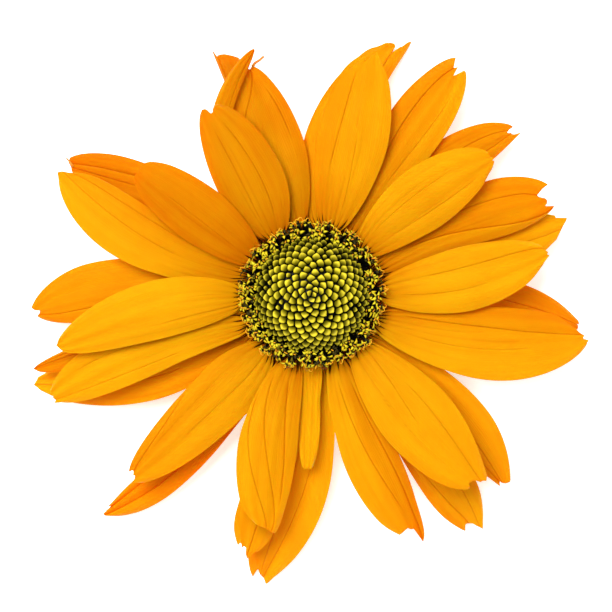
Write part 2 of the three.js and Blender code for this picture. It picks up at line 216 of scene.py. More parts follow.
# %% A finish of two tones
def two_toned(name, scale, detail, first, second, **settings):
    """A finish that needs no more than soft patches of two tones."""
    finish, tree, shader = new_finish(name, **settings)
    patches = use_group(tree, mottle, Scale=scale, Detail=detail)["Cloud"]
    feed(tree, shader, Base_Color=blended(tree, patches, first, second))
    return finish


# %% [markdown]
# The floor is only a stage: a wide plane with a chalky, almost white finish and a little mottle. The
# photograph has a pure white ground without shadows, as on a light table, so the floor also shines a little
# by itself.

# %% The floor
FLOOR_HALF = 3.0

chalk = two_toned("pale floor", 8, 2, tint(249, 249, 248), tint(252, 252, 252), Roughness=0.9,
                  Emission_Strength=0.45, Emission_Color=(1, 1, 1, 1))
corners = [(x * FLOOR_HALF, y * FLOOR_HALF, 0) for x, y in ((-1, -1), (1, -1), (1, 1), (-1, 1))]
floor_mesh = bpy.data.meshes.new("floor")
floor_mesh.from_pydata(corners, [], [(0, 1, 2, 3)])
floor_mesh.materials.append(chalk)
floor = bpy.data.objects.new("floor", floor_mesh)
scene.collection.objects.link(floor)
print("floor", 2 * FLOOR_HALF, "m wide")

# %% [markdown]
# ## Small tools for shapes
#
# Petals, bracts and hairs are grids of points worked out by formulas, so the pieces are made straight from
# arrays of numbers. All shapes are worked out in millimetres about the flower's axis. add_piece moves them
# into the frame, and hides the solid they stand for.

# %% Helpers for shapes
def smooth(low, high, value):
    """0 up to low, 1 from high on, and eased between them."""
    part = np.clip((value - low) / (high - low), 0, 1)
    return part * part * (3 - 2 * part)


def polar(radius, degrees):
    return np.array([radius * math.cos(math.radians(degrees)), radius * math.sin(math.radians(degrees))])


def add_piece(name, points, faces, finish, node, values=None):
    """Makes a piece from points in millimetres about the axis. values are numbers kept at its points."""
    mesh = bpy.data.meshes.new(name)
    placed = np.asarray(points, dtype=float) * MM + AXIS
    mesh.from_pydata(placed.tolist(), [], [tuple(map(int, face)) for face in faces])
    mesh.polygons.foreach_set("use_smooth", [True] * len(mesh.polygons))
    for key, numbers in (values or {}).items():
        attribute = mesh.attributes.new(key, "FLOAT", "POINT")
        attribute.data.foreach_set("value", np.asarray(numbers, dtype=np.float32).ravel())
    mesh.materials.append(finish)
    piece = bpy.data.objects.new(name, mesh)
    scene.collection.objects.link(piece)
    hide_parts(node)
    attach(piece, "root")
    return piece


def sheet(top, under):
    """Points and faces of a closed blade between two grids of points of the same size."""
    rows, columns = top.shape[:2]
    points = np.concatenate([top.reshape(-1, 3), under.reshape(-1, 3)])
    number = np.arange(rows * columns).reshape(rows, columns)
    corners = [number[:-1, :-1], number[1:, :-1], number[1:, 1:], number[:-1, 1:]]
    upper = np.stack(corners, -1).reshape(-1, 4)
    edge = np.concatenate([number[:, 0], number[-1, 1:], number[-2::-1, -1], number[0, -2:0:-1]])
    after = np.roll(edge, -1)
    below = rows * columns
    rim = np.stack([edge, edge + below, after + below, after], -1)
    return points, np.concatenate([upper, upper[:, ::-1] + below, rim])


# %% [markdown]
# Much of the flower is made of very small things: florets, curled stigmas, hairs. All of them are closed
# tubes along a short path, some flattened into lobes. A heap gathers many of them into one piece, because a
# separate object for each would be slow.

# %% Tubes, turned shapes and heaps
def ring_faces(rings, sides):
    """Faces of a closed shape made of rings of points, one after the other."""
    number = np.arange(rings * sides).reshape(rings, sides)
    after = np.roll(number, -1, axis=1)
    walls = np.stack([number[:-1], after[:-1], after[1:], number[1:]], -1).reshape(-1, 4)
    return [tuple(face) for face in walls] + [tuple(number[0][::-1]), tuple(number[-1])]


def tube(path, radii, sides=6, broad=(0.31, 0.47, 0.83), flatness=1.0):
    """A tube along a path. A flat one is as wide as its radii along broad, and thinner across it."""
    path, radii, broad = (np.asarray(part, dtype=float) for part in (path, radii, broad))
    forward = np.gradient(path, axis=0)
    forward /= np.linalg.norm(forward, axis=1, keepdims=True)
    side = broad - (forward @ broad)[:, None] * forward
    side /= np.linalg.norm(side, axis=1, keepdims=True)
    up = np.cross(forward, side) * flatness
    angles = np.arange(sides) / sides * 2 * np.pi
    ring = np.cos(angles)[:, None] * side[:, None] + np.sin(angles)[:, None] * up[:, None]
    points = path[:, None] + radii[:, None, None] * ring
    return points.reshape(-1, 3), ring_faces(len(path), sides)


def turned(profile, sides, ridges=0, depth=0.0):
    """A shape turned about the axis from radius and height pairs, with ridges that run up it."""
    angles = np.arange(sides) / sides * 2 * np.pi
    wave = 1 + depth * np.cos(ridges * angles)
    rings = [(r * wave * np.cos(angles), r * wave * np.sin(angles), np.full(sides, z)) for r, z in profile]
    return np.concatenate([np.stack(ring, -1) for ring in rings]), ring_faces(len(profile), sides)


class Heap:
    """Gathers many small shapes, and the values at their points, into one piece."""

    def __init__(self):
        self.points, self.faces, self.values, self.count = [], [], {}, 0

    def add(self, shape, **values):
        points, faces = shape
        self.faces += [tuple(corner + self.count for corner in face) for face in faces]
        self.points.append(points)
        self.count += len(points)
        for key, numbers in values.items():
            self.values.setdefault(key, []).append(np.broadcast_to(numbers, len(points)))

    def piece(self, name, finish, slot, node):
        values = {key: np.concatenate(parts) for key, parts in self.values.items()}
        return add_piece(name, np.concatenate(self.points), self.faces, finish, node, values)


# %% [markdown]
# ## The rays
#
# Each ray is a separate small flower that has grown into a long petal: a narrow claw under the disc, a
# broad blade with long folds, and a tip with small notches. They could be sculpted one by one, or cut from
# one sheet. Here one formula shapes them all, and a table gives each its own direction, width, bend, tip
# and folds. That keeps every petal in its place in the solid model, and any of them can be changed by one
# number. Afterwards most of them were fitted to the photograph's outline once more. Seen from above, their
# edges lie up to 0.9 mm from the solid model's, and the fine teeth of a tip up to 1.5 mm.
#
# The table runs clockwise from the top. root and tip are directions in degrees, reach is how far the tip is
# from the axis, left and right are half widths, bow bends the middle line, wide says where the blade is
# broadest, blunt how broad its tip stays, and slim, for left and right, how much straighter than an oval it
# narrows to it. tier is the layer, and a ray that rests has its tip on the ground. A tooth or notch is
# given by its place along the tip's edge, from 0 at the left to 6 at the right, and by how far it stands
# out.
#
# tone is the depth of the orange at the claw and at the tip, partly the petal's own colour and partly
# painted shade, and lean paints the left side deeper, painted shade, or the right one if it is negative.
# pale is how many times lighter a petal is painted than most: painted light on petals that lie in the shade
# of others, and painted shade where it is below 1. A fold is given by where it starts and ends along the
# blade, its place across it at the start, half way and end, its depth, and, where one side overlaps the
# other, the height of that side, on the left, or on the right if it is negative.

# %% The rays from the top to the right
USUAL = {"rests": False, "bow": 0, "slim": (0, 0), "pale": 1, "lean": 0, "folds": []}

RAYS = [
    dict(tier=4, root=73, tip=76, reach=44.8, left=6.3, right=6.5, wide=0.52, blunt=0.26, slim=(0, 0.7),
         tone=(0.3, 0.2), lean=0.12, teeth=[(0, -0.7), (0.5, -2), (0.9, -0.8), (1.4, -1.6), (1.9, -0.7),
         (2.5, -1.1), (3.4, -0.4), (4.5, 0.4), (5.2, -0.2), (6, -0.9)],
         folds=[(0.3, 0.92, 0.52, 0.4, 0.46, 0.14), (0.1, 0.6, -0.3, -0.2, -0.1, 0.08)]),
    dict(tier=0, rests=True, root=80, tip=70.2, reach=49.5, bow=4.3, left=5.6, right=3.9, wide=0.44,
         blunt=0.32, slim=(1, 0), pale=1.1, tone=(0.2, 0.4), lean=0.1, teeth=[(0, -2.8), (1, -2.1),
         (2, -1.7), (2.9, -1.9), (3.2, -2.5), (3.8, -3), (4.4, -1.1), (4.75, -1.2), (5, 0.2), (5.4, 0.6),
         (6, 0.9)], folds=[(0.4, 1, -0.4, -0.3, -0.2, 0.15)]),
    dict(tier=2, root=58, tip=57, reach=49.2, bow=0.8, left=5.3, right=5.3, wide=0.66, blunt=0.3,
         slim=(0, 0.3), tone=(0.55, 0.25), lean=0.3, teeth=[(0, 1), (1.4, -0.6), (1.6, -0.8), (2.1, -0.5),
         (2.55, -0.1), (2.8, -0.7), (3.2, -2), (3.7, -1.5), (4.5, -0.5), (5, 0.05), (6, -0.1)],
         folds=[(0.2, 0.98, 0.3, 0.42, 0.4, 0.18, 0.15), (0.3, 0.9, -0.3, -0.4, -0.5, 0.1)]),
    dict(tier=0.9, root=44, tip=39, reach=47.9, bow=2.2, left=4.8, right=4, wide=0.62, blunt=0.25,
         slim=(0.4, 1), tone=(0.6, 0.45), teeth=[(0, -0.8), (1.6, -0.4), (1.9, -1.3), (2.8, -1.9),
         (3.5, -1.6), (3.8, -0.9), (4.2, -1.3), (5.2, -0.9), (5.75, 0.6), (6, 0.2)],
         folds=[(0.4, 0.98, 0.2, 0.3, 0.3, 0.14), (0.4, 0.98, -0.3, -0.35, -0.4, 0.14)]),
    dict(tier=4, root=40, tip=37, reach=40.6, bow=1.4, left=5.8, right=5.8, wide=0.52, blunt=0.3,
         slim=(0, 1), tone=(0.35, 0.15), lean=-0.15, teeth=[(0, -0.4), (1, -0.2), (2.3, -0.1), (3, 0.3),
         (3.4, -0.1), (3.9, 0.2), (4.8, -0.2), (6, -0.9)], folds=[(0.1, 0.8, 0.3, 0.25, 0.3, 0.08),
         (0.2, 0.9, -0.4, -0.45, -0.5, 0.1)]),
    dict(tier=2, root=22, tip=22.4, reach=46.5, bow=2, left=5.4, right=5, wide=0.72, blunt=0.42,
         pale=1.08, tone=(0.55, 0.5), lean=0.05, teeth=[(0, 0.15), (0.85, -1.05), (2.1, -2.15),
         (2.6, -1.9), (3.1, -0.85), (3.7, -0.5), (4.5, -0.6), (5.15, -1.1), (5.35, 0), (5.5, 0.7),
         (6, 0.3)], folds=[(0.15, 1, 0.05, -0.45, -0.92, 0.16, -0.45), (0.4, 1, 0.4, 0.35, 0.3, 0.15)]),
    dict(tier=1, root=17, tip=15.7, reach=47.1, bow=0.2, left=4.6, right=4.9, wide=0.7, blunt=0.5,
         slim=(0, 0.8), tone=(0.4, -0.05), teeth=[(0, -2.4), (0.4, -2.1), (0.55, -0.7), (1, -0.8),
         (1.25, -0.5), (1.4, 0.3), (1.7, 1.3), (2.3, 1.05), (3.3, 0.25), (4.5, -0.6), (6, -1.6)],
         folds=[(0.5, 1, -0.2, -0.3, -0.3, 0.12)]),
    dict(tier=4, root=3, tip=10, reach=42.4, bow=-1.3, left=5.8, right=5.8, wide=0.52, blunt=0.3,
         slim=(0, 0.8), tone=(0.2, 0), lean=0.05, teeth=[(0, 0), (1.5, 0.3), (2.9, 0.8), (3.5, 0.5),
         (4.05, 0.85), (4.6, 0.25), (5.3, -0.4), (6, -0.9)], folds=[(0.25, 0.98, 0.38, 0.37, 0.52, 0.13),
         (0.1, 0.7, -0.25, -0.3, -0.3, 0.08)]),
]

# %% The rays from the right to the bottom
RAYS += [
    dict(tier=0, rests=True, root=-4, tip=-6.6, reach=49.1, bow=2.6, left=4.2, right=4.2, wide=0.6,
         blunt=0.22, slim=(1, 0), pale=1.3, tone=(0.5, 0.75), teeth=[(0, -0.5), (1, -0.3), (1.9, -0.1),
         (2.4, -0.5), (3, -0.1), (4.3, 0), (6, -0.1)], folds=[(0.4, 1, 0.2, 0.1, 0.1, 0.15)]),
    dict(tier=3, root=-21, tip=-8.5, reach=50, bow=-2.6, left=6.3, right=6.9, wide=0.6, blunt=0.22,
         slim=(0, 0.4), tone=(0.2, 0.25), lean=0.42, teeth=[(0, -1.5), (0.35, -1.3), (1.6, -0.8),
         (2.85, -0.1), (3.3, -0.5), (3.9, -0.4), (4.4, 0.2), (4.8, 0.45), (5.4, 0.1), (6, 0)],
         folds=[(0.1, 0.99, 0.62, 0.42, 0.18, 0.15), (0.15, 0.8, -0.2, -0.2, -0.15, 0.08)]),
    dict(tier=1, root=-38, tip=-44.5, reach=48.9, bow=2.2, left=5.1, right=3.6, wide=0.66, blunt=0.28,
         slim=(1, 1), pale=1.06, tone=(0.45, 0.35), lean=-0.2, teeth=[(0, 0), (0.6, 0.25), (2.2, 0.1),
         (3.6, -0.4), (4.1, -0.8), (4.8, -0.5), (5.3, 0), (6, -0.5)], folds=[(0.4, 1, 0.1, 0, -0.1, 0.15),
         (0.5, 1, -0.5, -0.5, -0.45, 0.12)]),
    dict(tier=4, root=-48, tip=-48.5, reach=45.2, bow=-0.6, left=6.9, right=6.6, wide=0.52, blunt=0.3,
         slim=(1, 0), tone=(0.15, 0.12), teeth=[(0, 0.2), (1.05, 0.75), (1.6, 0.3), (2.4, 0.1),
         (2.9, -0.7), (3.7, -1.1), (4.9, -1.2), (5.2, -0.6), (6, -0.5)],
         folds=[(0.05, 0.6, 0.34, 0.1, -0.1, 0.1), (0.3, 0.97, 0.45, 0.4, 0.3, 0.1)]),
    dict(tier=0, root=-56, tip=-54.8, reach=51.5, bow=0.7, left=4.9, right=4.6, wide=0.74, blunt=0.5,
         slim=(0.7, 0.4), pale=1.06, tone=(0.35, 0.1), lean=-0.25, teeth=[(0, -0.9), (0.7, -0.1),
         (1.4, 0.9), (1.75, 1.3), (2.1, 0.7), (2.6, 0.1), (3, -0.6), (4.2, -1.15), (4.65, -1.1),
         (5.1, -0.6), (5.4, -0.1), (6, -0.7)], folds=[(0.6, 0.97, -0.65, -0.45, -0.25, 0.16),
         (0.6, 1, 0.3, 0.35, 0.3, 0.12)]),
    dict(tier=2.5, root=-67, tip=-67.5, reach=46.8, bow=-1.5, left=5, right=4.9, wide=0.6, blunt=0.35,
         slim=(0, 0.3), tone=(0.1, 0.3), lean=0.3, teeth=[(0, 1.8), (0.7, 2.2), (0.95, 2.3), (1.1, 0.8),
         (1.25, -0.6), (2.1, -0.8), (2.7, -1.3), (3.3, -1.25), (4.6, -1.1), (6, -1)],
         folds=[(0.1, 0.9, -0.3, -0.06, 0.3, 0.14), (0.12, 0.98, 0.38, 0.6, 0.7, 0.16, 0.25)]),
    dict(tier=0.3, rests=True, root=-84, tip=-100.1, reach=52.6, bow=1.6, left=6.3, right=6.2, wide=0.58,
         blunt=0.27, slim=(0.9, 0), pale=1.25, tone=(0, 0.4), lean=-0.15, teeth=[(0, -0.6), (0.3, -0.2),
         (0.5, 0.3), (1, 0.5), (1.5, 0.1), (2.4, -0.4), (3.9, -0.75), (5.1, -1.5), (5.4, -1.2),
         (5.7, 0.2), (6, 0.1)], folds=[(0.2, 0.98, 0.4, 0.3, 0.15, 0.12),
         (0.3, 0.98, -0.1, -0.15, -0.2, 0.12)]),
    dict(tier=3, root=-91, tip=-91.2, reach=31.2, bow=0.3, left=1.7, right=2, wide=0.6, blunt=0.55,
         pale=1.1, tone=(0.1, 0.1), teeth=[(0, -0.5), (1.5, 0.1), (3, -0.1), (4.5, 0.2), (6, -0.3)]),
]

# %% The rays from the bottom to the left
RAYS += [
    dict(tier=2, root=-98, tip=-104, reach=48.2, left=3.7, right=4, wide=0.8, blunt=0.5,
         tone=(0.25, 0.25), teeth=[(0, -1), (1, -0.6), (1.7, -0.1), (2.1, 0.5), (2.65, 0.85), (3.3, 0.15),
         (3.7, -1), (4.3, -1.2), (4.8, -0.8), (5.1, -1.4), (5.5, -1.6), (6, -1)],
         folds=[(0.6, 1, 0.1, 0.1, 0.05, 0.18)]),
    dict(tier=4, root=-106, tip=-101.3, reach=42.6, bow=-1.6, left=5, right=5.7, wide=0.56, blunt=0.35,
         tone=(0.3, 0.1), lean=0.1, teeth=[(0, 1.1), (1, 0.9), (2, 0.5), (3, 0.1), (4, -0.2), (5, -0.5),
         (6, -1)], folds=[(0.2, 0.98, -0.95, -0.62, 0.1, 0.14), (0.1, 0.95, -0.7, -0.15, 0.6, 0.14, 0.12),
         (0.1, 0.9, 0.15, 0.52, 0.7, 0.16, 0.2)]),
    dict(tier=3, root=-131, tip=-134.5, reach=45.8, bow=0.4, left=5.8, right=5.1, wide=0.36, blunt=0.22,
         pale=0.95, tone=(0.1, 0.25), lean=-0.2, teeth=[(0, 0.3), (0.6, 0.65), (1.2, 0.4), (1.7, 0.35),
         (2.3, -0.1), (2.9, -0.3), (3.5, -0.1), (4.2, -0.4), (5, -0.7), (5.6, -0.5), (6, 0.1)],
         folds=[(0.45, 0.98, -1, -0.68, -0.46, 0.12), (0.05, 0.7, 0.3, 0.2, 0.2, 0.08)]),
    dict(tier=0.2, rests=True, root=-124, tip=-133.5, reach=54.4, bow=2, left=4.4, right=2, wide=0.72,
         blunt=0.3, slim=(0.5, 1), pale=1.3, tone=(0.7, 0.7), teeth=[(0, -0.5), (0.7, -0.1), (1.8, 0.6),
         (2.9, 0.75), (3.4, 0.1), (3.9, -0.2), (4.3, -1), (4.7, -1.3), (5.5, -0.9), (6, -0.8)],
         folds=[(0.3, 1, 0.35, 0.4, 0.3, 0.2, 0.2), (0.5, 1, -0.2, -0.3, -0.2, 0.2)]),
    dict(tier=0, rests=True, root=-150, tip=-162.3, reach=52.8, bow=2.2, left=6.1, right=5, wide=0.5,
         blunt=0.25, slim=(0.8, 0.3), pale=1.2, tone=(0.45, 0.2), lean=0.1, teeth=[(0, -1.2), (0.3, -0.9),
         (1.5, -0.25), (2.4, 0.4), (2.8, 0.25), (3.6, 0), (4.7, -0.3), (5.5, -0.4), (6, -1)],
         folds=[(0.3, 1, 0.3, 0.3, 0.1, 0.14)]),
    dict(tier=1.5, root=-164, tip=-165.2, reach=51.9, bow=-1.5, left=3.4, right=1.3, wide=0.6, blunt=0.1,
         tone=(0.6, 0.6), teeth=[(0, 0), (3, 0.4), (6, 0)], folds=[(0.5, 1, 0.1, 0.1, 0, 0.15)]),
    dict(tier=3, root=-156, tip=-158.5, reach=50, bow=-2.1, left=4.9, right=4.9, wide=0.6, blunt=0.3,
         tone=(0.05, 0.05), teeth=[(0, -0.4), (0.5, -0.1), (0.9, 0.6), (1.5, 0), (2.7, 0.2), (3.3, 0),
         (4, 0.35), (5, 0.1), (6, -0.4)], folds=[(0.3, 0.98, 0.6, 0.55, 0.4, 0.1),
         (0.1, 0.9, -0.2, -0.3, -0.5, 0.08)]),
    dict(tier=4.4, root=-178, tip=-168.5, reach=46.2, bow=-1.7, left=5, right=5.5, wide=0.45, blunt=0.15,
         slim=(0, 0.5), tone=(0.05, 0.05), teeth=[(0, 0), (1.8, 0.2), (3.2, 0.3), (4.4, 0.5), (5.2, 0.1),
         (6, 0)], folds=[(0.02, 0.5, 0.5, 0.45, 0.5, 0.1)]),
]

# %% The rays from the left to the top
RAYS += [
    dict(tier=1, root=172, tip=-176.5, reach=50.2, bow=-2.2, left=4.7, right=5.8, wide=0.7, blunt=0.2,
         slim=(0.3, 0.5), tone=(0.4, 0.38), lean=0.12, teeth=[(0, -0.1), (0.8, -0.2), (1.4, -0.6),
         (2.9, -0.9), (3.4, -0.3), (3.9, 0), (4.8, 0.3), (5.6, 0.45), (6, 0.2)],
         folds=[(0.5, 1, 0.5, 0.45, 0.54, 0.16)]),
    dict(tier=3.3, root=162, tip=153.9, reach=49.8, bow=3, left=5.8, right=4.9, wide=0.62, blunt=0.22,
         slim=(0.4, 0), pale=0.95, tone=(0.45, 0.15), lean=-0.25, teeth=[(0, -0.1), (0.4, 0.2),
         (1.2, 0.75), (1.7, 0.95), (2.3, 0.7), (3.2, 0.5), (4.2, 0.05), (5.1, -0.5), (6, -0.9)],
         folds=[(0.3, 0.97, -0.64, -0.64, -0.62, 0.1), (0.3, 0.97, 0.1, 0, -0.1, 0.1)]),
    dict(tier=0.6, root=136, tip=151.9, reach=49.8, bow=-2.3, left=4.2, right=3.9, wide=0.74, blunt=0.38,
         pale=0.95, tone=(0.45, 0.75), lean=0.1, teeth=[(0, -1.2), (0.7, -0.9), (1.5, -0.5), (2.6, -0.3),
         (4, 0.25), (4.6, 0.4), (5.3, 0.3), (6, 0.3)], folds=[(0.6, 1, -0.35, -0.25, -0.25, 0.2, 0.15),
         (0.6, 1, 0.1, 0.15, 0.1, 0.18)]),
    dict(tier=4.4, root=147, tip=144.4, reach=38, left=4.9, right=5.5, wide=0.5, blunt=0.48, pale=0.95,
         tone=(0.75, 0.75), lean=0.1, teeth=[(0, -0.8), (1, 0), (2, 0.2), (2.6, 0), (3.3, 0.3), (4.4, 0),
         (5.1, 0.1), (6, -0.5)], folds=[(0.1, 0.8, 0.2, 0.1, 0.1, 0.07)]),
    dict(tier=3.3, root=123, tip=119, reach=38.2, bow=-0.8, left=6.1, right=6.2, wide=0.45, blunt=0.3,
         slim=(0.3, 0), pale=0.95, tone=(0.5, 0.7), teeth=[(0, 0), (0.4, 0.2), (1.3, 0.55), (2.2, 0.4),
         (2.6, -0.1), (2.85, -0.9), (3.5, -0.9), (3.9, -0.5), (4.5, -0.2), (5.3, -0.15), (6, -0.2)],
         folds=[(0.1, 0.9, 0.3, 0.25, 0.3, 0.08), (0.1, 0.9, -0.3, -0.3, -0.2, 0.1)]),
    dict(tier=1.1, root=104, tip=106.9, reach=42.4, left=6.6, right=6.5, wide=0.5, blunt=0.28, pale=0.94,
         tone=(0.35, 0.65), teeth=[(0, 0.2), (1, -0.2), (2, 0.3), (3, 0.1), (4, 0.3), (5, -0.1),
         (6, 0.4)], folds=[(0.6, 1, 0.7, 0.2, -0.6, 0.16), (0.5, 0.9, -0.7, -0.68, -0.62, 0.14)]),
    dict(tier=2.2, root=118, tip=103.4, reach=45.3, bow=8.4, left=1.9, right=1.6, wide=0.7, blunt=0.3,
         pale=0.88, tone=(0.3, 0.55), lean=-0.1, teeth=[(0, -0.3), (1, 0.1), (2, 0.4), (3, 0.4),
         (4.5, 0.1), (6, -0.6)], folds=[(0.5, 1, -0.5, -0.5, -0.2, 0.12)]),
    dict(tier=0.1, rests=True, root=114, tip=111.2, reach=48.2, bow=-0.6, left=1, right=3.9, wide=0.7,
         blunt=0.8, pale=0.88, tone=(0.6, 0.75), teeth=[(0, -0.1), (0.6, -0.1), (1.2, -1), (1.5, -1.4),
         (3.1, -1.25), (4, -1.55), (5, -2.3), (6, -3.2)]),
]
RAYS = [{**USUAL, **ray} for ray in RAYS]
print(len(RAYS), "rays in the table")

# %% [markdown]
# The next cells turn a line of the table into a surface. First the blade's plan: how wide it is at each
# place along it, and how far each tooth of the tip stands out. Along is 0 at the claw and 1 at the tip, and
# across is -1 at the right edge and 1 at the left one.

# %% Plan of a ray
RAY_ROOT = 11.4  # distance of the claws from the axis
CLAW = 1.15  # half width of the claw
HEEL = 0.75  # how much broader the blade is a little above its claw
SWELL = 1.15  # how slowly the blade widens from there
TEETH_FROM = 0.84  # where along the blade the notches of the tip end


def half_width(ray, along, across):
    broadest = np.where(across > 0, ray["left"], ray["right"])
    slim = np.where(across > 0, *ray["slim"])
    rising = np.sin(np.pi / 2 * np.minimum(along / ray["wide"], 1)) ** SWELL
    heel = HEEL * smooth(0, 0.08, along) * (1 - smooth(0.1, 0.42, along))
    past = np.clip((along - ray["wide"]) / (1 - ray["wide"]), 0, 1)
    oval, straight = np.sqrt(1 - (1 - ray["blunt"] ** 2) * past ** 2), 1 - (1 - ray["blunt"]) * past ** 2
    falling = broadest * (oval + (straight - oval) * slim)
    return np.where(along <= ray["wide"], CLAW + (broadest - CLAW) * rising + heel, falling)


def tooth_at(ray, along, across):
    """How far the tip stands out at a place."""
    places, stands = zip(*ray["teeth"])
    return np.interp(3 * (1 - across), places, stands) * smooth(TEETH_FROM, 1, along)


# %% [markdown]
# Next the height. A ray leaves the receptacle nearly level, arches, and falls towards its tip, and those of
# the upper layers stay higher. These numbers are the solid model's own, so that the fine blade lies at the
# height of the solid one.

# %% Height of a ray
LOWEST_ROOT = 10.4
TIER_STEP = 0.98
SPAN = 43
LOWEST_END = 1.12
END_STEP = 2.85
LOWEST_RISE = 0.05
RISE_STEP = 0.05
CAMBER = 0.016


def ray_place(ray, along, across):
    """The middle of the blade before it is folded, in millimetres."""
    root = polar(RAY_ROOT, ray["root"])
    way = polar(ray["reach"], ray["tip"]) - root
    length = math.hypot(*way)
    way = way / length
    aside = across * half_width(ray, along, across)
    turn = np.arctan(4 * ray["bow"] * (1 - 2 * along) / length)
    forward = [way[0] * np.cos(turn) - way[1] * np.sin(turn), way[0] * np.sin(turn) + way[1] * np.cos(turn)]
    tooth = tooth_at(ray, along, across)
    swing = 4 * ray["bow"] * along * (1 - along)
    x = root[0] + way[0] * along * length - way[1] * swing - forward[1] * aside + forward[0] * tooth
    y = root[1] + way[1] * along * length + way[0] * swing + forward[0] * aside + forward[1] * tooth
    out = along * length + tooth
    root_height = LOWEST_ROOT + TIER_STEP * ray["tier"]
    rise = LOWEST_RISE + RISE_STEP * ray["tier"]
    span = length if ray["rests"] else SPAN
    end = LOWEST_END + (0 if ray["rests"] else END_STEP * ray["tier"])
    fall = (root_height + rise * span - end) / span ** 2
    return np.stack([x, y, root_height + rise * out - fall * out ** 2 - CAMBER * aside ** 2], -1)


# %% [markdown]
# Then the relief. A petal like this has three shallow lobes along it, which end in the tip's teeth, edges
# that ripple a little, and a few sharp folds where it was pressed in the bud. The folds are grooves with
# one side slightly over the other, and the same numbers later give the finish its painted shade: a dark
# line in each fold, a deeper orange on the side that is overlapped, and dark lines in the claw's pleats.
# Near the claw the relief is small, because the petals lie close together there.

# %% Relief of a ray
LOBE_DEPTH = 0.2
RIPPLE = 0.22
CLAW_PLEAT = 0.09
PLEAT_COUNT = 2.6  # pleats across half a claw
# From here on the values also paint shade: dark lines in the claw's pleats and in each fold, and a deeper
# orange beside a fold, on the side that is overlapped.
PLEAT_SHADE = 0.85
FOLD_WIDTH = 0.15
CREASE_SHADE_WIDTH = 0.09  # half width of the dark line in a fold
OVERLAP_RUN = 1.6  # how far from a fold the side that overlaps it has sunk back
SHADE_RUN = 1.3  # how far the side that is overlapped is deeper in colour
FINE_FOLDS = 5
DEEP_FOLD = 0.15  # depth of a fold whose line is fully dark
HIGH_OVERLAP = 0.3  # height of a side that hides all beside it


def fold_line(fold, along):
    """Where a fold lies across the blade, and how much of it there is, at each place along."""
    start, end, first, middle, last = fold[:5]
    part = np.clip((along - start) / (end - start), 0, 1)
    line = first * (1 - part) * (1 - 2 * part)
    line += middle * 4 * part * (1 - part)
    line += last * part * (2 * part - 1)
    present = smooth(start, start + 0.12, along)
    if end < 0.95:
        present = present * (1 - smooth(end - 0.12, end, along))
    return line, present


def fine_folds(draw):
    """Faint folds that differ from ray to ray."""
    places = np.linspace(-0.75, 0.75, FINE_FOLDS) + draw.uniform(-0.13, 0.13, FINE_FOLDS)
    ends = draw.uniform(0.35, 0.9, FINE_FOLDS)
    return [(-0.1, end, place * 1.1, place, place * 0.9, draw.uniform(0.02, 0.06))
            for place, end in zip(places, ends)]


def relief(ray, along, across, draw):
    """Height above the plain blade, painted shade in the folds' lines and the claw's pleats, and painted
    shade on the overlapped side of a fold.
    """
    drift, waves, phase = draw.uniform(-0.08, 0.08), draw.uniform(1.6, 2.6), draw.uniform(0, 2 * np.pi)
    free = smooth(0.08, 0.45, along)
    height = -LOBE_DEPTH * (1 - np.cos(3 * np.pi * (across + drift))) / 2 * free
    height += RIPPLE * across ** 4 * np.sin(2 * np.pi * waves * along + phase + across) * free
    pleat = np.abs(np.sin(np.pi * (drift * 12 + PLEAT_COUNT) * across + phase + 2 * across ** 2 + along))
    height += CLAW_PLEAT * pleat * (1 - smooth(0.12, 0.5, along))
    # painted shade in the valleys of the claw's pleats
    crease_shade = PLEAT_SHADE * (1 - pleat) ** 2 * (1 - smooth(0.03, 0.2, along))
    painted_fold_shade = np.zeros_like(height)
    for fold in ray["folds"] + fine_folds(draw):
        line, present = fold_line(fold, along)
        depth, overlap = (*fold[5:], 0)[:2]
        distance = (across - line) * half_width(ray, along, across)
        height -= depth * np.exp(-(distance / FOLD_WIDTH) ** 2) * present
        over = np.where(distance * np.sign(overlap) > 0, np.exp(-np.abs(distance) / OVERLAP_RUN), 0)
        height += abs(overlap) * over * present * free
        # painted shade on the side of the fold that the other side lies over
        below = np.where(distance * np.sign(overlap) < 0, np.exp(-np.abs(distance) / SHADE_RUN), 0)
        painted_fold_shade = np.maximum(painted_fold_shade, below * present * min(1, abs(overlap) / HIGH_OVERLAP))
        # painted shade: a dark line along the fold
        line_here = np.exp(-(distance / CREASE_SHADE_WIDTH) ** 2) * present
        crease_shade = np.maximum(crease_shade, line_here * min(1, depth / DEEP_FOLD))
    return height, crease_shade, painted_fold_shade


# %% [markdown]
# A grid with even columns would need very many of them to show a fold that is a third of a millimetre wide.
# So the columns crowd together where a fold runs, and stay wide apart on the plain parts.

# %% Grid of a ray
ROWS = np.concatenate([np.linspace(0, 0.84, 50), np.linspace(0.84, 1, 19)[1:]])
COLUMNS = 60
CROWDING = 5
CROWD_WIDTH = 0.06


def ray_grid(ray):
    """along and across at each point of the ray's grid."""
    even = np.linspace(-1, 1, 321)
    weight = np.ones((len(ROWS), len(even))) + np.abs(even) ** 8
    for fold in ray["folds"]:
        line, present = fold_line(fold, ROWS)
        weight += CROWDING * present[:, None] * np.exp(-((even - line[:, None]) / CROWD_WIDTH) ** 2)
    total = np.cumsum(weight, axis=1)
    total = (total - total[:, :1]) / (total[:, -1:] - total[:, :1])
    steps = np.linspace(0, 1, COLUMNS)
    across = np.array([np.interp(steps, row, even) for row in total])
    return np.broadcast_to(ROWS[:, None], across.shape), across


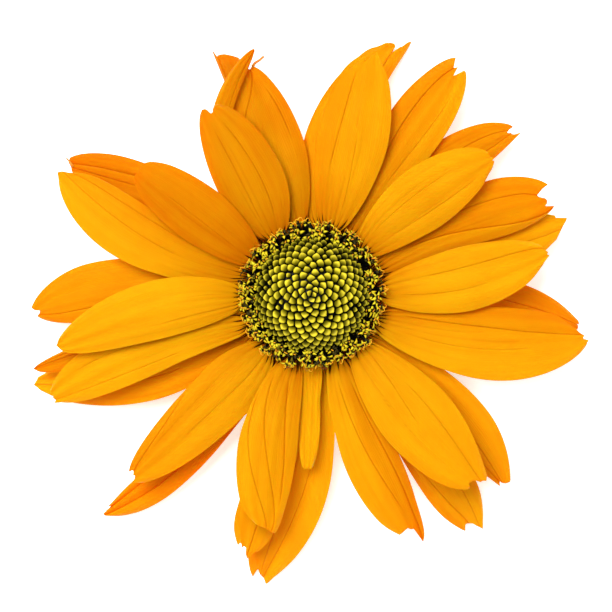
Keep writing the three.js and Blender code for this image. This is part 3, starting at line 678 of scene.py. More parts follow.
# %% [markdown]
# ## The petal's finish
#
# A sunflower's ray is golden where it is thick and lit, and a deeper orange near its claw. Painted shade
# makes it a deeper orange in its folds and where other petals lie over it, and a painted shadow turns it
# brown where the claw meets the disc. The surface is satin, with fine lines along it, and the light that
# enters it comes out a little further on, so its shadows are warm.
#
# One material serves all the rays. What differs from ray to ray is in values that each mesh carries. First
# come its lines and streaks, then how deep the orange is, painted shade included, and last the painted
# shadow, brown, at the claw.

# %% The petal's finish
GOLD = tint(190, 135, 14)
DEEP = tint(167, 93, 4)
# the brown is a painted shadow colour for the claw
CLAW_SHADOW_BROWN = tint(40, 18, 2)
UNDERSIDE = tint(190, 130, 20)

petal, tree, shader = new_finish("petal", Subsurface_Weight=0.65, Subsurface_Scale=0.001,
                                 Subsurface_Radius=(1.0, 0.25, 0.05), Specular_IOR_Level=0.1,
                                 Specular_Tint=tint(255, 200, 60))
along, across = own_value(tree, "along"), own_value(tree, "across")
crease_shade, orange_and_shade, under = (own_value(tree, name) for name in ("crease_shade", "orange_and_shade", "under"))
lines = use_group(tree, ribs, Across=across, Along=along, Count=17, Wander=0.35)["Line"]
patches = use_group(tree, mottle, Scale=110, Detail=3)["Cloud"]
place = put(tree, "CombineXYZ", {"X": across, "Y": along, "Z": own_value(tree, "age")}).outputs["Vector"]
place = put(tree, "VectorMath", {0: place, 1: (3.2, 0.9, 20)}, operation="MULTIPLY").outputs["Vector"]
streaks = put(tree, "TexNoise", {"Vector": place, "Scale": 1, "Detail": 3}).outputs["Fac"]
streaks = eased(tree, streaks, 0.3, 0.7)

# %% Depth of the orange, with painted shade
CREASE_SHADE_DEEPER, PATCHES_DEEPER, STREAKS_DEEPER, LINES_PALER = 0.4, 0.12, 0.22, 0.08

near_claw = eased(tree, along, 0.02, 0.4, 0.3, 0.0)
# the mesh's tones carry painted shade as well as the petal's own orange
depth = sums(tree, "ADD", orange_and_shade, near_claw)
# painted shade along the folds and in the claw's pleats
depth = sums(tree, "MULTIPLY_ADD", crease_shade, CREASE_SHADE_DEEPER, depth)
depth = sums(tree, "MULTIPLY_ADD", patches, PATCHES_DEEPER, depth)
depth = sums(tree, "MULTIPLY_ADD", streaks, STREAKS_DEEPER, sums(tree, "SUBTRACT", depth, 0.09))
depth = sums(tree, "MULTIPLY_ADD", lines, -LINES_PALER, sums(tree, "ADD", depth, 0.04), clamp=True)
colour = blended(tree, depth, GOLD, DEEP)

# %% Painted shadow at the claw, and the surface
CREASE_SHADOW_BROWN = 0.16
UNDER_SHARE = 0.6  # how much of its own colour the underside has

# painted shadow: brown where the claw meets the disc and along its creases, where shade falls
ragged = sums(tree, "MULTIPLY_ADD", crease_shade, -0.1, along)
ragged = sums(tree, "MULTIPLY_ADD", streaks, -0.05, ragged)
pressed = eased(tree, ragged, -0.02, 0.02, 0.94, 0.0)
pressed = sums(tree, "MULTIPLY_ADD", crease_shade, CREASE_SHADOW_BROWN, pressed, clamp=True)
colour = blended(tree, pressed, colour, CLAW_SHADOW_BROWN)
colour = blended(tree, sums(tree, "MULTIPLY", under, UNDER_SHARE), colour, UNDERSIDE)
# pale scales the colour: painted light that lifts petals lying in the shade of others, painted shade where
# it is below 1
colour = put(tree, "VectorMath", {0: colour, 3: own_value(tree, "pale")}, operation="SCALE").outputs[0]
grain = put(tree, "Bump", {"Height": lines, "Strength": 0.25, "Distance": 0.0001}).outputs["Normal"]
feed(tree, shader, Base_Color=colour, Roughness=eased(tree, patches, 0, 1, 0.42, 0.56), Normal=grain)
print("finish:", petal.name)

# %% The rays
BLADE = 0.26  # thickness of a real petal, less than half the solid's
EDGE_THINNER, TIP_THINNER = 0.6, 0.4  # share by which it is thinner there
SEED = 40
# painted shade under the side of a fold
FOLD_SHADE_DEPTH = 0.35  # how much deeper the orange is under the side of a fold


def build_ray(number, ray):
    draw = np.random.default_rng(SEED + number)
    along, across = ray_grid(ray)
    middle = ray_place(ray, along, across)
    height, crease_shade, painted_fold_shade = relief(ray, along, across, draw)
    middle[..., 2] += height
    half = BLADE / 2 * (1 - EDGE_THINNER * across ** 4) * (1 - TIP_THINNER * smooth(0.9, 1, along))
    top, below = middle.copy(), middle.copy()
    top[..., 2] += half
    below[..., 2] -= half
    points, faces = sheet(top, below)
    at_claw, at_tip = ray["tone"]
    # the tones and lean are partly the petal's own orange and partly painted shade, and the side under a
    # fold gets painted shade
    orange_and_shade = at_claw + (at_tip - at_claw) * along + ray["lean"] * across + FOLD_SHADE_DEPTH * painted_fold_shade
    upper = {"along": along, "across": across, "crease_shade": crease_shade, "orange_and_shade": orange_and_shade}
    upper["age"] = np.full_like(along, number / len(RAYS))
    # painted light: pale lifts petals that lie in shade, and darkens them where it is below 1
    upper["pale"] = np.full_like(along, ray["pale"])
    values = {key: np.concatenate([part.ravel(), part.ravel()]) for key, part in upper.items()}
    values["under"] = np.repeat([0, 1], along.size)
    name = f"ray_{number:02d}"
    return add_piece(name + "_petal", points, faces, petal, name, values)


petals = [build_ray(number, ray) for number, ray in enumerate(RAYS, 1)]
print(len(petals), "petals of", len(petals[0].data.polygons), "faces each")

# %% [markdown]
# Two petals are torn a little at their tips, and a thread of skin stands out there. Each thread starts on
# the blade, so its height is read from the nearest point of the finished petal. Its finish lets no light
# through, because a thread as fine as this would turn white against the floor.

# %% Torn threads
THREADS = [
    {"ray": 30, "path": [(-10.7, 41.3), (-10.2, 42.0), (-9.4, 42.5), (-8.6, 43.2)], "radius": 0.3},
    {"ray": 27, "path": [(-43.2, 23.4), (-43.6, 23.8), (-44.0, 24.3), (-44.5, 24.9)], "radius": 0.2},
]
THREAD_RISE = 0.05  # how much higher each point of a thread is than the one before

torn_skin = two_toned("torn skin", 900, 2, tint(196, 104, 5), tint(212, 132, 10), Roughness=0.6)

for thread in THREADS:
    petal_mesh = petals[thread["ray"] - 1].data
    flat = np.zeros(len(petal_mesh.vertices) * 3)
    petal_mesh.vertices.foreach_get("co", flat)
    blade = (flat.reshape(-1, 3) - AXIS) / MM
    nearest = np.hypot(*(blade[:, :2] - thread["path"][0]).T).argmin()
    path = [(x, y, blade[nearest, 2] + THREAD_RISE * step) for step, (x, y) in enumerate(thread["path"])]
    points, faces = tube(path, thread["radius"] * np.linspace(1, 0.7, len(path)), 8)
    name = f"ray_{thread['ray']:02d}"
    add_piece(name + "_thread", points, faces, torn_skin, name)
print(len(THREADS), "threads")

# %% [markdown]
# ## The closed buds
#
# The middle of the disc is a dome of closed florets. Each shows only its tip, a small scale that leans to
# the rim. Copying one scale 240 times would leave gaps and overlaps. So the tips are placed as the plant
# places them, each a golden angle on from the one before, the area of each is cut out half way to its
# neighbours, and a rounded scale is raised on that area.

# %% Places of the buds
GOLDEN_ANGLE = math.radians(137.508)
bud_low, bud_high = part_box("disc_buds")
DOME_RADIUS = (bud_high.x - bud_low.x) / 2 / MM
DOME_FLOOR = bud_low.z / MM
DOME_RIM = 1.2  # height of the dome's upright edge
DOME_CROWN = 3.4  # rise from the edge to the middle
BALL = (DOME_RADIUS ** 2 + DOME_CROWN ** 2) / (2 * DOME_CROWN)  # radius of the ball it is cut from
BUDS = 240
BUD_REACH = 0.99  # how near the edge of the dome the last buds lie
CENTRE_CROWD = 1.5  # above 1 the buds are smaller in the middle
RIM_CROWD = 1.2  # above 0 they are pressed together towards the rim
FLATTENED = 0.8  # below 1 they are all broader round the disc than they are long
BUD_STRAY = 0.08  # how far a bud may stray from its place
PLAN_END = 1.12  # how far the plan is used beyond the last buds

RIM_RUN = math.asin(DOME_RADIUS / BALL) * BALL * BUD_REACH  # along the dome to the last buds
PLAN_RIM = RIM_RUN * RIM_CROWD / math.sin(RIM_CROWD)  # the same before the buds are pressed together
share = (np.arange(BUDS) + 0.5) / BUDS
turns = np.arange(BUDS) * GOLDEN_ANGLE
bud_plan = (PLAN_RIM * share ** (CENTRE_CROWD / 2))[:, None] * np.stack([np.cos(turns), np.sin(turns)], -1)
bud_plan += np.random.default_rng(SEED).uniform(-BUD_STRAY, BUD_STRAY, bud_plan.shape)
print(BUDS, "buds on a dome of", round(DOME_RADIUS, 2), "mm radius")


# %% Area of a bud
NEIGHBOURS = 21  # how many buds round one can bound its area
WIDEST = 1.2  # how far an area may reach from its bud


def cut(area, middle, outward):
    """Keeps the part of an area, a list of corners, before the line through middle, across outward."""
    kept = []
    for first, second in zip(area, area[1:] + area[:1]):
        a, b = np.dot(first - middle, outward), np.dot(second - middle, outward)
        if a <= 0:
            kept.append(first)
        if a * b < 0:
            kept.append(first + (second - first) * a / (a - b))
    return kept


def bud_area(index):
    """Corners of the area round a bud, half way to its neighbours."""
    here = bud_plan[index]
    away = bud_plan - here
    near = np.argsort((away ** 2).sum(1))[1:NEIGHBOURS + 1]
    area = [here + WIDEST * np.array(corner) for corner in ((-1, -1), (1, -1), (1, 1), (-1, 1))]
    for other in near:
        area = cut(area, here + away[other] / 2, away[other])
    return np.array(area)


def edge_distance(area, here, angle):
    """How far the area reaches from here in a direction."""
    way = np.array([math.cos(angle), math.sin(angle)])
    best = 1e9
    for first, second in zip(area, np.roll(area, -1, axis=0)):
        side = second - first
        cross = way[0] * side[1] - way[1] * side[0]
        if abs(cross) < 1e-9:
            continue
        far = ((first - here)[0] * side[1] - (first - here)[1] * side[0]) / cross
        part = ((first - here)[0] * way[1] - (first - here)[1] * way[0]) / cross
        if far > 0 and -1e-6 <= part <= 1 + 1e-6:
            best = min(best, far)
    return best


# %% [markdown]
# A scale is built of rings of points, from its foot to its tip. It is an oval in the disc's own directions,
# out from the middle and round it, and never leaves the bud's area. Its outer end stands higher than its
# inner one, so that the scales lie like shingles.

# %% Sizes of a bud
BUD_SIDES = 20
BUD_RINGS = [1.0, 0.98, 0.92, 0.8, 0.6, 0.3]
BUD_GAP = (0.07, 0.26)  # share of its area that a bud leaves free, in the middle and at the rim
BUD_SMALL, SMALL_SIZE = 0.04, 0.6  # share of buds that have stayed small, and how small they are
BUD_RISE = 0.85
BUD_USUAL = 0.6  # mean radius of a bud that rises as high as that
BUD_FLANK = (2.6, 0.75)  # how far out the flank stays high, and how steep its foot is
BUD_ROOT = 0.55  # how far its foot is sunk
BUD_LEAN = 0.22
BUD_WIDTH = 1.3  # half the width of a scale round the disc, as a share of its area's mean radius
BUD_OUTER = (1.3, 1.05)  # length of a scale's outer part, and how rounded it is, 1 being pointed and 2 oval
BUD_INNER = (1.05, 2.0)  # the same of its inner part
BUD_TILT = 0.45  # how much its outer end stands higher than its inner one
BUD_TWIST = math.radians(12)  # how far the scales are turned, as their spirals run
BUD_VARIES = 0.18  # how much their turns and sizes differ
print("a bud has", BUD_SIDES * (len(BUD_RINGS) + 1) + 1, "points")


# %% Shape of a bud
def on_dome(plan, lift):
    """A point of the dome from its place in the plan, lifted off the surface."""
    run = np.hypot(plan[..., 0], plan[..., 1])
    pressed = np.minimum(run / PLAN_RIM, PLAN_END) ** FLATTENED * RIM_CROWD
    angle = RIM_RUN * np.sin(pressed) / math.sin(RIM_CROWD) / BALL
    level = DOME_FLOOR + DOME_RIM + DOME_CROWN - BALL
    flat = np.where(run > 0, np.sin(angle) * (BALL + lift) / np.maximum(run, 1e-9), 0)
    return np.stack([plan[..., 0] * flat, plan[..., 1] * flat, level + np.cos(angle) * (BALL + lift)], -1)


def bud_points(index, draw):
    """Rings of points from a bud's foot to its tip, with how far up and how near its outer end they are."""
    here = bud_plan[index]
    area = bud_area(index)
    angles = np.arange(BUD_SIDES) / BUD_SIDES * 2 * np.pi
    reach = np.array([edge_distance(area, here, angle) for angle in angles])
    out = np.hypot(*here) / PLAN_RIM
    reach = (reach * 4 + np.roll(reach, 1) + np.roll(reach, -1)) / 6
    reach = reach * (1 - np.interp(out, [0.6, 1], BUD_GAP))
    reach = reach * (SMALL_SIZE if draw.uniform() < BUD_SMALL else 1)
    size = reach.mean()
    slope = angles - math.atan2(here[1], here[0]) - BUD_TWIST + draw.normal(0, BUD_VARIES)
    length, point = np.where(np.cos(slope)[:, None] > 0, BUD_OUTER, BUD_INNER).T
    scale = (np.abs(np.cos(slope)) / length) ** point + (np.abs(np.sin(slope)) / BUD_WIDTH) ** point
    varied = size * draw.uniform(1 - BUD_VARIES, 1 + BUD_VARIES / 2)
    reach = np.minimum(reach, varied * scale ** (-1 / point))
    outward = here / max(np.hypot(*here), 0.3)
    rise = BUD_RISE * min(size / BUD_USUAL, 1.2) * draw.uniform(0.8, 1.15)
    plans, lifts, rises, ends = [], [], [], []
    for ring in [1.0] + BUD_RINGS:
        foot = ring == 1.0 and not plans
        up = 0 if foot else (1 - ring ** BUD_FLANK[0]) ** BUD_FLANK[1]
        spread = np.stack([np.cos(angles), np.sin(angles)], -1) * (reach * ring)[:, None]
        plans.append(here + spread + outward * BUD_LEAN * up ** 1.5)
        tilt = BUD_TILT * ring * reach * np.cos(slope)
        lifts.append(np.full(BUD_SIDES, -BUD_ROOT) if foot else rise * up + tilt)
        rises.append(np.full(BUD_SIDES, 0.0 if foot else 0.18 + 0.82 * up))
        ends.append(ring * np.cos(slope) * reach / size)
    plans.append((here + outward * BUD_LEAN * 1.1)[None])
    lifts.append(np.array([rise * 1.05]))
    rises.append(np.ones(1))
    ends.append(np.zeros(1))
    places = on_dome(np.concatenate(plans), np.concatenate(lifts))
    return places, np.concatenate(rises), np.concatenate(ends), out


def cap_faces(rings, sides):
    """Faces of a closed cap of rings of points that ends in one point."""
    tip, last = rings * sides, (rings - 1) * sides
    walls_and_floor = ring_faces(rings, sides)[:-1]
    return walls_and_floor + [(last + side, last + (side + 1) % sides, tip) for side in range(sides)]


# %% [markdown]
# ## The buds' finish
#
# A bud is yellow at its tip and olive on its flanks. Where it meets the next one it is painted nearly
# black, painted shade for the little light that gets in there, and the dome under the buds is painted black
# too.
# Its inner end, under the next scale's overhang, is painted darker than its outer one as painted shade,
# most of all near the rim, and buds there are painted less yellow, partly painted shade and partly greener
# buds. The mesh carries how far up a point is and how near its bud's outer end.

# %% The buds' finish
BUD_YELLOW = tint(205, 186, 42)
BUD_OLIVE = tint(86, 80, 4)
BUD_BLACK = tint(5, 6, 1)

bud_skin, tree, shader = new_finish("closed buds", Specular_IOR_Level=0.1)
up, age, rim, end = (own_value(tree, name) for name in ("up", "age", "rim", "end"))
patches = use_group(tree, mottle, Scale=2200, Detail=2)["Cloud"]
cloudy = sums(tree, "MULTIPLY_ADD", patches, 0.5, -0.2)
bright = sums(tree, "ADD", eased(tree, up, 0.45, 0.85), cloudy, clamp=True)
# near the rim the buds are painted less bright: partly painted shade, partly greener buds
bright = sums(tree, "MULTIPLY", bright, eased(tree, rim, 0.5, 0.95, 1.0, 0.4))
# painted shade: darker towards each scale's inner end, under the next one's overhang
bright = sums(tree, "MULTIPLY", bright, eased(tree, end, -0.8, 0.1, 0.0, 1.0))
colour = blended(tree, bright, BUD_OLIVE, BUD_YELLOW)
colour = blended(tree, eased(tree, age, 0.3, 1.0, 0.0, 0.3), colour, BUD_OLIVE)
# painted shade: nearly black low on each bud, where it meets the next, and on the dome beneath
colour = blended(tree, eased(tree, up, 0.32, 0.66, 1.0, 0.0), colour, BUD_BLACK)
# painted shade: black at each scale's inner end, most of all near the rim
near_rim = eased(tree, rim, 0.45, 0.85, 0.0, 0.9)
inner_end_shade = sums(tree, "MULTIPLY", eased(tree, end, -0.7, 0.1, 1.0, 0.0), near_rim)
colour = blended(tree, inner_end_shade, colour, BUD_BLACK)
feed(tree, shader, Base_Color=colour, Roughness=eased(tree, patches, 0, 1, 0.4, 0.6))
print("finish:", bud_skin.name)

# %% The closed buds
DOME_SIDES = 64
UNDER_BUDS = 0.5  # how far the dome that carries them lies under their feet


def build_buds():
    draw = np.random.default_rng(SEED)
    heap = Heap()
    bud_faces = cap_faces(len(BUD_RINGS) + 1, BUD_SIDES)
    for index in range(BUDS):
        points, rises, ends, out = bud_points(index, draw)
        heap.add((points, bud_faces), up=rises, age=draw.uniform(), rim=out, end=ends)
    slants = np.linspace(1, 0.06, 12) * PLAN_RIM
    angles = np.arange(DOME_SIDES) / DOME_SIDES * 2 * np.pi
    circle = np.stack([np.cos(angles), np.sin(angles)], -1)
    dome = [on_dome(slant * circle, -UNDER_BUDS) for slant in slants]
    wall = dome[0].copy()
    wall[:, 2] = DOME_FLOOR
    points = np.concatenate([wall] + dome + [on_dome(np.zeros((1, 2)), -UNDER_BUDS)])
    # the dome's points are low, so it is painted black as shade
    heap.add((points, cap_faces(len(dome) + 1, DOME_SIDES)), up=0, age=0, rim=1, end=0)
    return heap.piece("closed_buds", bud_skin, "buds", "disc_buds")


closed_buds = build_buds()
print("closed buds:", len(closed_buds.data.polygons), "faces")

# %% [markdown]
# ## The ring of open florets
#
# Round the dome the florets open. Each is a narrow tube with five pointed lobes, a dark tube of anthers
# that stands out of it, and a stigma whose two ends curl back. The inner ones are still closed, and the
# outer ones lean over the petals. They could be copies of one model, but no two are turned or opened alike,
# so each is made from a few random draws, always the same ones.

# %% Place of a floret
PLATE = {"radius": 11.0, "floor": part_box("disc_florets")[0].z / MM, "thickness": 1.0}
PLATE_TOP = PLATE["floor"] + PLATE["thickness"]
print("the florets stand", round(PLATE_TOP, 2), "mm above the ground")


def stand_at(radius, turn, lean):
    """Foot of a floret, and its own directions: up along it, out from the axis, and aside."""
    around = np.array([math.cos(turn), math.sin(turn), 0])
    up = math.sin(lean) * around + np.array([0, 0, math.cos(lean)])
    out = math.cos(lean) * around - np.array([0, 0, math.sin(lean)])
    return radius * around + np.array([0, 0, PLATE_TOP]), up, out, np.cross(up, out)


# %% Parts of a floret
THROAT = 0.78  # how far up a floret its lobes part
LOBES = 5
LOBE_LOST = 0.25  # share of lobes that are missing


def add_corolla(heap, foot, up, out, aside, length, spread, draw):
    """The tube and its lobes. spread is 0 on a lobe that stands up and 1 on one that lies flat."""
    path = [foot + up * (length * part) for part in (-0.3, 0.2, 0.5, 0.68, THROAT)]
    rise = np.repeat([0.0, 0.1, 0.3, 0.5, 0.6], 8)
    heap.add(tube(path, [0.2, 0.25, 0.3, 0.36, 0.33], 8), up=rise, age=draw.uniform())
    first = draw.uniform(0, 2 * math.pi)
    throat = foot + up * (length * THROAT)
    for lobe in range(LOBES):
        if draw.uniform() < LOBE_LOST:
            continue
        angle = first + lobe * 2 * math.pi / LOBES + draw.uniform(-0.4, 0.4)
        away = math.cos(angle) * out + math.sin(angle) * aside
        open_by = spread * draw.uniform(0.5, 1.3)
        steps = [(0.2, 0.0), (0.36 + 0.12 * open_by, 0.24), (0.46 + 0.5 * open_by, 0.44 - 0.15 * open_by)]
        steps.append((0.44 + 0.95 * open_by, 0.62 - 0.6 * open_by))
        path = [throat + away * far + up * high for far, high in steps]
        radii = np.array([0.26, 0.29, 0.17, 0.01]) * draw.uniform(0.8, 1.25)
        shape = tube(path, radii, 4, np.cross(up, away), 0.3)
        heap.add(shape, up=np.repeat([0.4, 0.8, 0.95, 1.0], 4), age=draw.uniform())


def add_anthers(heap, foot, up, length, draw):
    tip = length * THROAT + draw.uniform(0.3, 0.7)
    path = [foot + up * part for part in (length * 0.5, tip - 0.3, tip - 0.1, tip)]
    heap.add(tube(path, [0.13, 0.15, 0.14, 0.05], 6), up=np.repeat([0.0, 0.5, 0.8, 1.0], 6))
    return foot + up * tip


def add_stigma(heap, tip, up, out, aside, size, draw):
    """Two thin branches that part at the tip of the anthers and curl back."""
    turn = draw.uniform(0, math.pi)
    for half in (0, math.pi):
        away = math.cos(turn + half) * out + math.sin(turn + half) * aside
        curl = np.linspace(0, draw.uniform(3.2, 4.6), 9)
        bend = size * draw.uniform(0.7, 1.3)
        path = tip + bend * (np.sin(curl)[:, None] * up * 1.1 + (1 - np.cos(curl))[:, None] * away)
        branch = tube(path, np.linspace(0.1, 0.05, 9), 5, np.cross(up, away))
        heap.add(branch, up=np.repeat(curl / curl[-1], 5), age=draw.uniform())


def add_closed(heap, foot, up, out, length, draw):
    """A floret about to open: a slim bud with a point."""
    parts = (-0.2, 0.2, 0.5, 0.75, 0.92, 1.0)
    path = [foot + up * (length * part) + out * 0.12 * part ** 2 for part in parts]
    radii = np.array([0.26, 0.33, 0.36, 0.28, 0.14, 0.02]) * draw.uniform(0.7, 1.1)
    heap.add(tube(path, radii, 8), up=np.repeat([0.0, 0.1, 0.35, 0.6, 0.85, 1.0], 8), age=draw.uniform())


# %% [markdown]
# The corollas share the buds' finish idea, brighter and with less green, and are painted nearly black low
# on their tubes as painted shade. Anthers are brown-black and slightly glossy, stigmas are orange where
# they are ripe, and the bed between them is painted nearly black, a painted shadow for the deep gaps among
# the florets.

# %% Finish of the corollas
corolla_skin, tree, shader = new_finish("corollas", Roughness=0.5, Specular_IOR_Level=0.12)
up, age = own_value(tree, "up"), own_value(tree, "age")
patches = use_group(tree, mottle, Scale=1200, Detail=2)["Cloud"]
lit = blended(tree, age, tint(212, 198, 40), tint(200, 170, 20))
lit = blended(tree, sums(tree, "MULTIPLY", patches, 0.5), lit, tint(110, 98, 8))
colour = blended(tree, eased(tree, up, 0.6, 0.9), BUD_OLIVE, lit)
# painted shade: nearly black low on each tube, among the florets
colour = blended(tree, eased(tree, up, 0.4, 0.8, 1.0, 0.0), colour, BUD_BLACK)
colour = blended(tree, eased(tree, age, 0.74, 0.84, 0.0, 0.95), colour, BUD_BLACK)
feed(tree, shader, Base_Color=colour)

# %% Finishes of anthers, stigmas and the bed
anther_skin, tree, shader = new_finish("anthers", Roughness=0.45, Specular_IOR_Level=0.15)
patches = use_group(tree, mottle, Scale=1500, Detail=2)["Cloud"]
colour = blended(tree, patches, tint(8, 6, 2), tint(26, 16, 4))
colour = blended(tree, eased(tree, own_value(tree, "up"), 0.9, 1.0), colour, tint(110, 74, 12))
feed(tree, shader, Base_Color=colour)

stigma_skin, tree, shader = new_finish("stigmas", Roughness=0.6, Specular_IOR_Level=0.25)
up, age = own_value(tree, "up"), own_value(tree, "age")
colour = blended(tree, up, tint(208, 158, 18), tint(216, 118, 8))
colour = blended(tree, eased(tree, age, 0.8, 1.0), colour, tint(90, 38, 3))
feed(tree, shader, Base_Color=colour)

# painted shadow: the bed is nearly black, for the deep gaps among the florets
shadow_bed = two_toned("dark bed", 700, 3, tint(5, 5, 1), tint(14, 11, 2), Roughness=0.9,
                     Specular_IOR_Level=0.05)
print("finishes:", corolla_skin.name, anther_skin.name, stigma_skin.name)

# %% [markdown]
# The florets stand in four rows. Those of the innermost are about to open. Each row further out has longer
# florets that lean more and show more of their stigmas, and no floret keeps quite to its row.

# %% Rows of the ring
CLOSED_ROW = {"count": 84, "radius": 10.0, "lean": 2, "length": 1.7}
OPEN_ROWS = [
    {"count": 42, "radius": 10.4, "lean": 6, "length": 2.0, "spread": 0.7, "stigma": 0.1},
    {"count": 46, "radius": 10.75, "lean": 24, "length": 2.2, "spread": 0.9, "stigma": 0.14},
    {"count": 54, "radius": 11.0, "lean": 52, "length": 2.4, "spread": 1.0, "stigma": 0.34},
]
LEAN_VARIES, LENGTH_VARIES, TURN_VARIES = 14, 0.2, 0.6


def row_places(row, draw):
    for index in range(row["count"]):
        turn = (index + TURN_VARIES * draw.uniform(-1, 1)) / row["count"] * 2 * math.pi
        lean = math.radians(row["lean"] + LEAN_VARIES * draw.uniform(-1, 1))
        yield row["length"] * (1 + LENGTH_VARIES * draw.uniform(-1, 1)), stand_at(row["radius"], turn, lean)


print("florets:", CLOSED_ROW["count"] + sum(row["count"] for row in OPEN_ROWS))

# %% The ring
draw = np.random.default_rng(SEED + 1)
corollas, anthers, stigmas, bed = Heap(), Heap(), Heap(), Heap()
for length, (foot, up, out, aside) in row_places(CLOSED_ROW, draw):
    add_closed(corollas, foot, up, out, length, draw)
for row in OPEN_ROWS:
    for length, (foot, up, out, aside) in row_places(row, draw):
        add_corolla(corollas, foot, up, out, aside, length, row["spread"], draw)
        tip = add_anthers(anthers, foot, up, length, draw)
        add_stigma(stigmas, tip, up, out, aside, row["stigma"], draw)
edge, low, high = PLATE["radius"], PLATE["floor"], PLATE_TOP
bed.add(turned([(0.1, low), (edge - 0.1, low), (edge, low + 0.1), (edge, high - 0.2), (edge - 0.2, high),
                (0.1, high)], 96))
ring = [
    corollas.piece("corollas", corolla_skin, "open_florets", "disc_florets"),
    anthers.piece("anthers", anther_skin, "open_florets", "disc_florets"),
    stigmas.piece("stigmas", stigma_skin, "open_florets", "disc_florets"),
    bed.piece("floret_bed", shadow_bed, "open_florets", "disc_florets"),
]
print("ring:", sum(len(part.data.polygons) for part in ring), "faces")

# %% [markdown]
# ## The green parts behind
#
# Under the disc the rays grow from a fleshy receptacle with two rows of pointed bracts, and the stem was
# cut off a little below it. Little of this shows from above, but the flower is also seen from the side and
# from below. The bracts are blades like the petals, with a midrib, and hairs stand along their edges and on
# the stem.

# %% Finish of the green parts
green_skin, tree, shader = new_finish("green skin", Specular_IOR_Level=0.12)
along, across, shade = (own_value(tree, name) for name in ("along", "across", "shade"))
lines = use_group(tree, ribs, Across=across, Along=along, Count=9, Wander=0.3)["Line"]
patches = use_group(tree, mottle, Scale=350, Detail=4)["Cloud"]
colour = blended(tree, patches, tint(74, 104, 34), tint(104, 132, 48))
colour = blended(tree, sums(tree, "MULTIPLY", lines, 0.35), colour, tint(132, 154, 72))
# painted shade: near-black where the mesh's shade value is high, under the disc and petals
colour = blended(tree, shade, colour, tint(16, 9, 1))
grain = put(tree, "Bump", {"Height": lines, "Strength": 0.4, "Distance": 0.0002}).outputs["Normal"]
feed(tree, shader, Base_Color=colour, Roughness=eased(tree, patches, 0, 1, 0.55, 0.75), Normal=grain)

hair_skin = two_toned("hairs", 500, 2, tint(196, 204, 160), tint(226, 228, 198), Roughness=0.5)
print("finishes:", green_skin.name, hair_skin.name)

# %% Hairs
def add_hair(heap, foot, way, length, draw):
    """A stiff hair that bends a little towards its tip."""
    way = np.asarray(way) / np.linalg.norm(way)
    bend = draw.uniform(-0.2, 0.2, 3) * length
    path = [foot, foot + way * length * 0.5 + bend * 0.3, foot + way * length + bend]
    heap.add(tube(path, [0.035, 0.025, 0.006], 4))


def add_edge_hairs(heap, middle, draw):
    """Hairs along both edges of a bract and on its back."""
    for side, inner in ((0, 1), (-1, -2)):
        for row in range(14, len(middle) - 1):
            foot, within = middle[row, side], middle[row, inner]
            way = (foot - within) + (middle[row + 1, side] - foot) * draw.uniform(0.3, 1)
            way = way + np.array([0, 0, 0.1 * draw.uniform(-1, 1)])
            add_hair(heap, foot, way, draw.uniform(0.5, 1.0), draw)


# %% Sizes of the receptacle and bracts
RECEPTACLE = {"radius": 11.1, "neck": 3.4, "floor": 7.6, "shoulder": 9.9, "top": 15.35}
BRACT_COUNT = 12  # in each row
BRACT_ROOT = 8.0
BRACT_HALF_WIDTH = 2.1
BRACT_CAMBER = 0.05
BRACT_BLADE = 0.45
BRACT_ROWS = [
    {"turn": 0.25, "height": 9.1, "reach": 25.5, "slope": -0.03, "sag": 0.007},
    {"turn": 0.75, "height": 8.5, "reach": 22.5, "slope": -0.16, "sag": 0.009},
]
print(BRACT_COUNT * len(BRACT_ROWS), "bracts")


# %% Receptacle and bracts
def bract_grid(row, turn, draw):
    along, across = np.meshgrid(np.linspace(0, 1, 26), np.linspace(-1, 1, 11), indexing="ij")
    out = along * (row["reach"] - BRACT_ROOT)
    width = (1 - along ** 3.2) * (0.8 + 0.5 * along) + 0.03
    aside = across * BRACT_HALF_WIDTH * width
    height = row["height"] + row["slope"] * out - row["sag"] * out ** 2 - BRACT_CAMBER * aside ** 2
    height = height + 0.12 * np.abs(across) ** 1.5
    height = height + 0.1 * np.sin(5 * along + draw.uniform(0, 6)) * across ** 2
    aside = aside + 0.25 * draw.uniform(-1, 1) * along ** 2
    far = BRACT_ROOT + out
    x, y = far * math.cos(turn) - aside * math.sin(turn), far * math.sin(turn) + aside * math.cos(turn)
    return along, across, np.stack([x, y, height], -1)


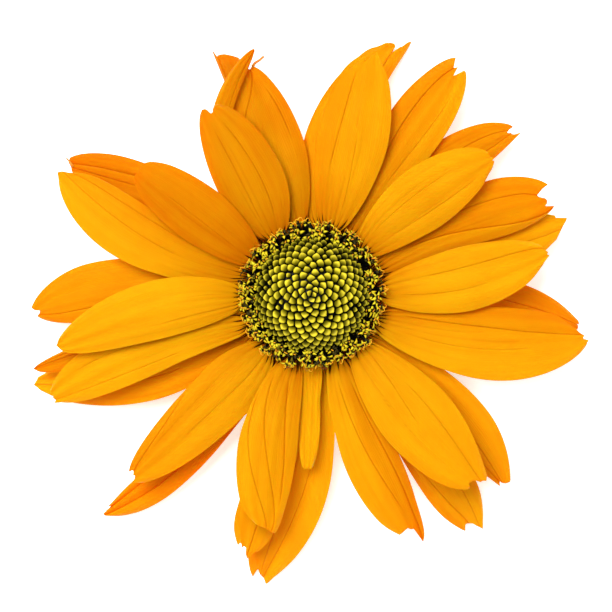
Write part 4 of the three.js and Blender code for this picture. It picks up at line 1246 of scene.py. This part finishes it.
def build_involucre():
    draw = np.random.default_rng(SEED + 2)
    heap, hairs = Heap(), Heap()
    body = RECEPTACLE
    edge, top = body["radius"], body["top"]
    profile = [(0.1, body["floor"]), (body["neck"], body["floor"]), (body["neck"] * 2, body["floor"] + 0.3)]
    profile += [(edge - 1.2, body["shoulder"] - 0.9), (edge, body["shoulder"])]
    profile += [(edge, 12.5), (edge, top - 0.4), (edge - 0.4, top), (0.1, top)]
    sides = 96
    heights = np.repeat([level for _, level in profile], sides)
    around = np.tile(np.arange(sides) / sides * 2 - 1, len(profile)) * 8
    # painted shade: the receptacle's top, under the disc, is painted near-black
    heap.add(turned(profile, sides, 24, 0.008), along=0.0, across=around, shade=smooth(9.6, 11.5, heights))
    for row in BRACT_ROWS:
        for index in range(BRACT_COUNT):
            turn = (index + row["turn"]) / BRACT_COUNT * 2 * math.pi
            along, across, middle = bract_grid(row, turn, draw)
            half = BRACT_BLADE / 2 * (1 - 0.7 * np.abs(across) ** 3) * (1 - 0.5 * along)
            groove = 0.1 * np.exp(-(across / 0.16) ** 2)
            top_side, under_side = middle.copy(), middle.copy()
            top_side[..., 2] += half - groove
            under_side[..., 2] -= half + groove
            # painted shade: the bracts' upper sides are near-black towards their roots, under the petals
            dark = (0.98 * (1 - smooth(0.6, 0.98, along))).ravel()
            along, across = np.tile(along.ravel(), 2), np.tile(across.ravel(), 2)
            heap.add(sheet(top_side, under_side), along=along, across=across,
                     shade=np.concatenate([dark, dark * 0]))
            add_edge_hairs(hairs, middle, draw)
    return heap, hairs


green, green_hairs = build_involucre()
involucre = green.piece("involucre_bracts", green_skin, "bracts", "involucre")
bract_hairs = green_hairs.piece("bract_hairs", hair_skin, "bracts", "involucre")
print("bracts:", len(involucre.data.polygons), "faces;", len(bract_hairs.data.polygons), "on hairs")

# %% [markdown]
# The stem is a short stub. Its skin has shallow ridges and stiff hairs, and the cut shows a pale pith
# inside a green ring.

# %% Finish of the stem
stem_skin, tree, shader = new_finish("stem skin", Specular_IOR_Level=0.3)
pith, along = own_value(tree, "pith"), own_value(tree, "along")
patches = use_group(tree, mottle, Scale=500, Detail=4)["Cloud"]
streak = use_group(tree, ribs, Across=own_value(tree, "across"), Along=along, Count=20, Wander=0.2)["Line"]
colour = blended(tree, patches, tint(106, 134, 54), tint(136, 158, 74))
colour = blended(tree, sums(tree, "MULTIPLY", streak, 0.3), colour, tint(160, 176, 98))
colour = blended(tree, pith, colour, tint(222, 220, 178))
feed(tree, shader, Base_Color=colour, Roughness=eased(tree, patches, 0, 1, 0.5, 0.7))
print("finish:", stem_skin.name)

# %% The stem
STEM = {"radius": 3.2, "height": 7.3, "waist": 0.92}
STEM_HAIRS = 420

draw = np.random.default_rng(SEED + 3)
stub, stub_hairs = Heap(), Heap()
radius, height = STEM["radius"], STEM["height"]
sides = 60
profile = [(0.05, 0.02), (radius * 0.5, 0.02), (radius * 0.78, 0.02), (radius * 0.84, 0.0)]
profile += [(radius * 0.96, 0.0), (radius, 0.12)]
profile += [(radius * (1 - (1 - STEM["waist"]) * math.sin(math.pi * part)), height * part)
            for part in (0.15, 0.3, 0.45, 0.6, 0.75, 0.9)]
profile += [(radius * 1.04, height - 0.1), (radius * 1.0, height), (0.05, height)]
inside = np.repeat([1, 1, 0.9, 0.2] + [0] * (len(profile) - 4), sides)
around = np.tile(np.arange(sides) / sides * 2 - 1, len(profile))
stub.add(turned(profile, sides, 12, 0.015), pith=inside, across=around,
         along=np.repeat([level / height for _, level in profile], sides))
for index in range(STEM_HAIRS):
    turn, level = draw.uniform(0, 2 * math.pi), draw.uniform(0.6, height - 0.3)
    around = np.array([math.cos(turn), math.sin(turn), draw.uniform(-0.25, 0.35)])
    foot = np.array([radius * 0.92 * math.cos(turn), radius * 0.92 * math.sin(turn), level])
    add_hair(stub_hairs, foot, around, draw.uniform(0.7, 1.3), draw)
stem = stub.piece("stem_stub", stem_skin, "stem", "stem")
stem_hairs = stub_hairs.piece("stem_hairs", hair_skin, "stem", "stem")
print("stem:", len(stem.data.polygons), "faces;", len(stem_hairs.data.polygons), "on hairs")
